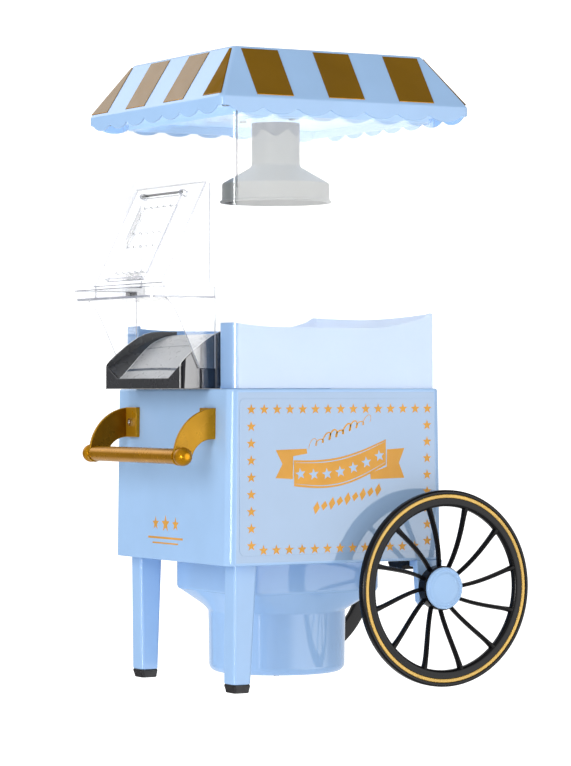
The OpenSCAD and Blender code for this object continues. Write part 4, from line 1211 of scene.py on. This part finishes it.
def build_roof():
    """Scalloped valance, slopes and flat top as one skin, closed by a lid over its middle."""
    rings = [valance_ring(0.7, 3.4, 0.05), valance_ring(0.15, 3.9, 0.35), valance_ring(0, 4, 1.0)]
    rings += [eave_ring(inset, 4, z) for inset, z in (
        (0, 413.5), (0, 416.2), (0.12, 416.9), (0.45, 417.6), (FOLD, SLOPE_Z))]
    rings += [slope_ring(t) for t in (0.03, 0.5, 0.97, 1)]
    rings += [flat_ring(CROWN_H - i, 3.4, z) for i, z in ((0.5, 454.3), (1.3, 454.8), (2.4, ROOF_TOP))]
    rings += [flat_ring(20, 2, ROOF_TOP), flat_ring(20, 2, ROOF_TOP - SKIN)]
    rings += [flat_ring(CROWN_H - 2.4, 3, ROOF_TOP - SKIN)]
    inside = len(rings) * len(rings[0])
    rings += [slope_ring(0.97, 1.2, 1.7), slope_ring(0.03, 0.8, 1.9)]
    rings += [eave_ring(SKIN, 2.6, 416.4), eave_ring(SKIN, 2.6, 413.5)]
    rings += [valance_ring(SKIN, 2.6, 1.0), valance_ring(1.8, 2.8, 0.35), valance_ring(1.3, 3, 0.05)]
    shell = loft(rings, loop=True)
    # Faces of the inner skin take the roof's inside look, whose glow is painted light.
    shell.marks = [int(min(f) >= inside) for f in shell.faces]
    lid = loft([flat_ring(21, 2, ROOF_TOP), flat_ring(21, 2, ROOF_TOP - SKIN)], caps=(True, True))
    piece("roof_shell", shell.join(lid), ["blue", "roof_inside_painted_glow"], "roof", ["roof"],
          angle=28)


def stripe_set():
    """Raised bands up the four slopes."""
    shape = Shape()
    low, high = 0.012, 0.985

    def band(edges, half_eave, on_x):
        """edges run across the slope: lower left, lower right, upper right, upper left."""
        run = half_eave - FOLD - CROWN_H
        rise = SLOPE_TOP - SLOPE_Z
        size = hypot(run, rise)
        nx, nz = rise / size, run / size

        def at(across, t, out):
            reach = half_eave - FOLD - run * t + nx * out
            z = SLOPE_Z + rise * t + nz * out
            return (reach, across, z) if on_x else (across, -reach, z)

        a, b, c, d = edges
        rings = []
        for inset, out in ((0, -0.3), (0, 0.25), (0.15, 0.42), (0.45, 0.5)):
            k = inset / size
            rings.append([at(a + inset, low + k, out), at(b - inset, low + k, out),
                          at(c - inset, high - k, out), at(d + inset, high - k, out)])
        part = loft(rings, caps=(True, True))
        part.marks = [2 if i % 4 == 0 and i < 12 else 0 for i in range(len(part.faces))]
        shape.join(part)
        shape.join(part.moved(lambda p: (-p[0], p[1], p[2]) if on_x else (p[0], -p[1], p[2])))

    for a, b in ((-72.7, -43.3), (-14.7, 14.7), (43.3, 72.7)):
        band((a, b, b, a), EAVE_HX, True)
    for a, b in ((-45, -15), (15, 45)):
        band((a, b, b, a), EAVE_HY, False)
    band((2.6 - EAVE_HX, -75, -75, 1.3 - CROWN_H), EAVE_HY, False)
    shaded = len(shape.faces)
    band((75, EAVE_HX - 2.6, CROWN_H - 1.3, 75), EAVE_HY, False)
    shape.marks[shaded:] = [mark or 1 for mark in shape.marks[shaded:]]
    return shape


build_roof()
piece("roof_stripes", stripe_set(), ["stripe", "stripe_matt", "gold"], "roof", angle=24)


def build_hood():
    """Bell with its neck and top flange, turned from one line."""
    plate_z, neck, wave_z = 412.4, 17.7, 401
    line = [(neck - 1.8, plate_z), (neck + 9.6, plate_z), (neck + 10, plate_z - 0.5),
            (neck + 9.8, plate_z - 1.6), (neck + 1.2, plate_z - 1.8), (neck + 0.3, plate_z - 2.4),
            (neck, plate_z - 3.5), (neck, wave_z), (neck, 392), (neck + 0.05, 379.5), (neck + 0.5, 378),
            (neck + 1.7, 376.4), (38.6, 365.3), (39.3, 364.6), (39.6, 363.4), (39.6, 353.2),
            (39.9, 352.4), (41, 352.1), (41.2, 351.6), (41, 350.9), (40.4, 350.5), (38.4, 350.5),
            (37.9, 351), (37.8, 353), (37.8, 363), (37, 364), (neck + 1, 373.8), (neck - 1.3, 376.2),
            (neck - 1.8, 378)]
    bell = spin(line, 128)

    def lapped(p):
        """The painted shadow on the neck ends in a wave."""
        swing = 2.4 * cos(6 * atan2(p[1], p[0])) if abs(p[2] - wave_z) < 0.1 else 0
        return (p[0], p[1], p[2] + swing)

    bell = bell.moved(lapped)
    # The neck above the wave gets a painted shadow, and the flange on top the roof plate's look with its
    # painted glow.
    marks = []
    for f in bell.faces:
        z = sum(bell.verts[i][2] for i in f) / len(f)
        marks.append(2 if z > plate_z - 3.3 else 1 if z > wave_z + 2 else 0)
    bell.marks = marks
    piece("hood_bell", bell, ["hood", "hood_painted_shadow", "plate"], "roof", ["hood"], angle=26)


build_hood()


# ---- Back: switch and mains inlet ----

def build_switch():
    """Bezel and rocker of the switch; at rest the rocker leans by half its travel."""
    face = wall_y(SWITCH_Z)
    rings = []
    for hx, hz, r, steps in ((9, 14, 1.8, ((0, 0.25), (0, 1.3), (0.25, 1.7), (0.7, 1.85))),
                             (5.9, 10.9, 0.7, ((0, 1.85), (0.3, 1.5), (0.35, -10.8)))):
        for inset, lift in steps:
            ring = rect_ring(hx - inset, inset - hz, hz - inset, r, 0, 5, 2)
            rings.append([(SWITCH_X + x, face + lift, SWITCH_Z + z) for x, z, _ in ring])
    piece("switch_frame", loft(rings, caps=(False, True)), "black", "base",
          ["switch_housing"])
    pivot_y, tip = face - 2.5, radians(-9)
    half = [(4.2, 0), (4.4, 2), (5.2, 6), (5.5, 9.1), (4.4, 9.5), (3.1, 9.3), (-5, 4)]
    line = [(u, -v) for u, v in half[:0:-1]] + half

    def seat(u, v, w):
        y = u * cos(tip) - v * sin(tip)
        z = u * sin(tip) + v * cos(tip)
        return (SWITCH_X + w, pivot_y + y, SWITCH_Z + z)

    piece("switch_key", plate(line, -5, 5, seat), "red", "rocker", ["switch_rocker"],
          bevel=0.35, segments=3)


def build_inlet():
    """Gland that lines the mains lead's hole."""
    face = wall_y(INLET_Z)
    gland = [(3.4, 2), (3.4, -7), (5.9, -7), (5.9, 0.2), (8.3, 0.2), (8.5, 0.5), (8.5, 1.3), (8.1, 1.7),
             (6.4, 1.8), (5.9, 2.0), (5.5, 2.3), (3.9, 2.3)]
    ring = spin(gland, 64).moved(lambda p: (p[0] + INLET_X, face + p[2], p[1] + INLET_Z))
    piece("inlet_gland", ring, "black", "base", ["cord_gland"])


build_switch()
build_inlet()


# ---- Materials of the CAD pieces that stay ----

KEPT = {
    "base_plate": "blue", "wheel_stay_left": "tyre", "wheel_stay_right": "tyre", "inlet_grille": "black",
    "axle": "steel", "axle_clips": "zinc", "handle_screws": "screw",
    "popping_chamber": "aluminium", "chamber_collar": "collar", "heater_housing": "duct",
    "heater_former": "mica", "heater_coil": "wire", "thermostat": "black", "thermal_fuse": "fuse",
    "motor": "can", "motor_shaft": "steel", "motor_mount": "collar", "motor_screws": "zinc",
    "fan_impeller": "black", "diode_board": "board",
    "base_screws": "zinc", "leg_screws": "zinc", "grille_screws": "zinc", "flap_pin": "thin",
    # roof_plate takes the plate look, whose glow is painted light.
    "roof_plate": "plate", "roof_screws": "zinc", "hood_screws": "zinc",
}
for node_name, look in KEPT.items():
    if node_name in nodes:
        mesh = nodes[node_name].data
        mesh.materials.clear()
        mesh.materials.append(mat[look])


# ---- Studio ----

BACKDROP = 1.5                  # what the camera sees behind and under the object
DIFFUSE_LIGHT, MIRROR_LIGHT = 0.55, 0.92
# Bright and dark patches that only reflections see: towards, inner and outer radius in degrees, gain.
PATCHES = (
    ((0.87, 0.5, 0.0), 20, 44, 3.6),        # sheen of the clear side wall
    ((-0.84, -0.32, 0.44), 9, 19, 1.5),     # front slope of the roof
    ((0.63, -0.77, 0.0), 6, 12, 22.0),      # lines of light on the near corners
    ((-0.87, -0.49, -0.02), 16, 32, -0.8),
    ((0.32, 0.49, 0.81), 15, 40, -0.75),
)


def add_area(name, place_at, aim, size, power):
    """Square lamp that mirrors don't show."""
    data = bpy.data.lights.new(name, "AREA")
    data.shape, data.size, data.energy = "SQUARE", size, power
    obj = new_object(name, data)
    obj.location = place_at
    obj.rotation_mode = "QUATERNION"
    obj.rotation_quaternion = (Vector(place_at) - Vector(aim)).to_track_quat("Z", "Y")
    obj.visible_glossy = False


def add_world():
    """White studio: even for diffuse light, with bright and dark patches for reflections."""
    world = bpy.data.worlds.new("studio")
    world.use_nodes = True
    bpy.context.scene.world = world
    tree = world.node_tree
    tree.nodes.clear()

    def add(kind, inputs=None, **props):
        return add_node(tree, kind, inputs, **props)

    direction = add("TexCoord").outputs["Generated"]

    def lobe(toward, inner, outer, gain):
        """gain within inner degrees of a direction, falling to nothing at outer."""
        unit = Vector(toward).normalized()
        dot = add("VectorMath", {0: direction, 1: unit}, operation="DOT_PRODUCT").outputs["Value"]
        return add("MapRange", {0: dot, 1: cos(radians(outer)), 2: cos(radians(inner)),
                                3: 0.0, 4: gain}, interpolation_type="SMOOTHSTEP")

    def total(a, b):
        return add("Math", {0: a, 1: b}, operation="ADD")

    mirror = lobe(*PATCHES[0])
    for patch in PATCHES[1:]:
        mirror = total(mirror, lobe(*patch))
    mirror = total(mirror, MIRROR_LIGHT)
    rays = add("LightPath").outputs
    straight = {0: rays["Is Camera Ray"], 1: rays["Is Transmission Ray"]}
    seen = add("Math", straight, operation="MAXIMUM")
    pick = add("Mix", {0: rays["Is Glossy Ray"], 2: DIFFUSE_LIGHT, 3: mirror}, data_type="FLOAT")
    pick = add("Mix", {0: seen, 2: pick, 3: BACKDROP}, data_type="FLOAT")
    back = add("Background", {"Color": WHITE, "Strength": pick})
    out = add("OutputWorld")
    tree.links.new(back.outputs[0], out.inputs["Surface"])


def add_floor():
    """White floor that keeps only a trace of shadow where the camera sees it and shows in no reflection."""
    g = Graph("studio_floor")
    speck = g.tint(g.noise(3, 2), (0.52, 0.52, 0.525, 1), (0.56, 0.56, 0.565, 1))
    diffuse = g.add("BsdfDiffuse", {"Color": speck})
    glow = g.add("Emission", {"Color": WHITE, "Strength": 0.66})
    lit = g.add("AddShader", {0: diffuse, 1: glow})
    plain = g.add("Emission", {"Color": WHITE, "Strength": BACKDROP})
    rays = g.add("LightPath").outputs
    seen = g.add("Math", {0: rays["Is Camera Ray"], 1: 0.85}, operation="MULTIPLY")
    mix = g.add("MixShader", {0: seen, 1: lit, 2: plain})
    through = g.add("BsdfTransparent", {"Color": WHITE})
    mix = g.add("MixShader", {0: rays["Is Glossy Ray"], 1: mix, 2: through})
    look = g.finish(mix)
    mesh = bpy.data.meshes.new("floor")
    mesh.from_pydata([(-8, -8, 0), (8, -8, 0), (8, 8, 0), (-8, 8, 0)], [], [(0, 1, 2, 3)])
    mesh.materials.append(look)
    new_object("floor", mesh)


add_world()
add_floor()
add_area("key", (0.9, -1.8, 0.9), (0, 0, 0.2), 1.2, 18)
add_area("left", (-1.5, -0.7, 1.2), (0, 0, 0.25), 0.9, 7)
add_area("right", (1.6, 0.9, 0.9), (0, 0, 0.2), 1.0, 4)
add_area("rear", (-0.5, 1.8, 1.3), (0, 0, 0.25), 1.0, 7)
bpy.context.scene.view_settings.view_transform = "Standard"
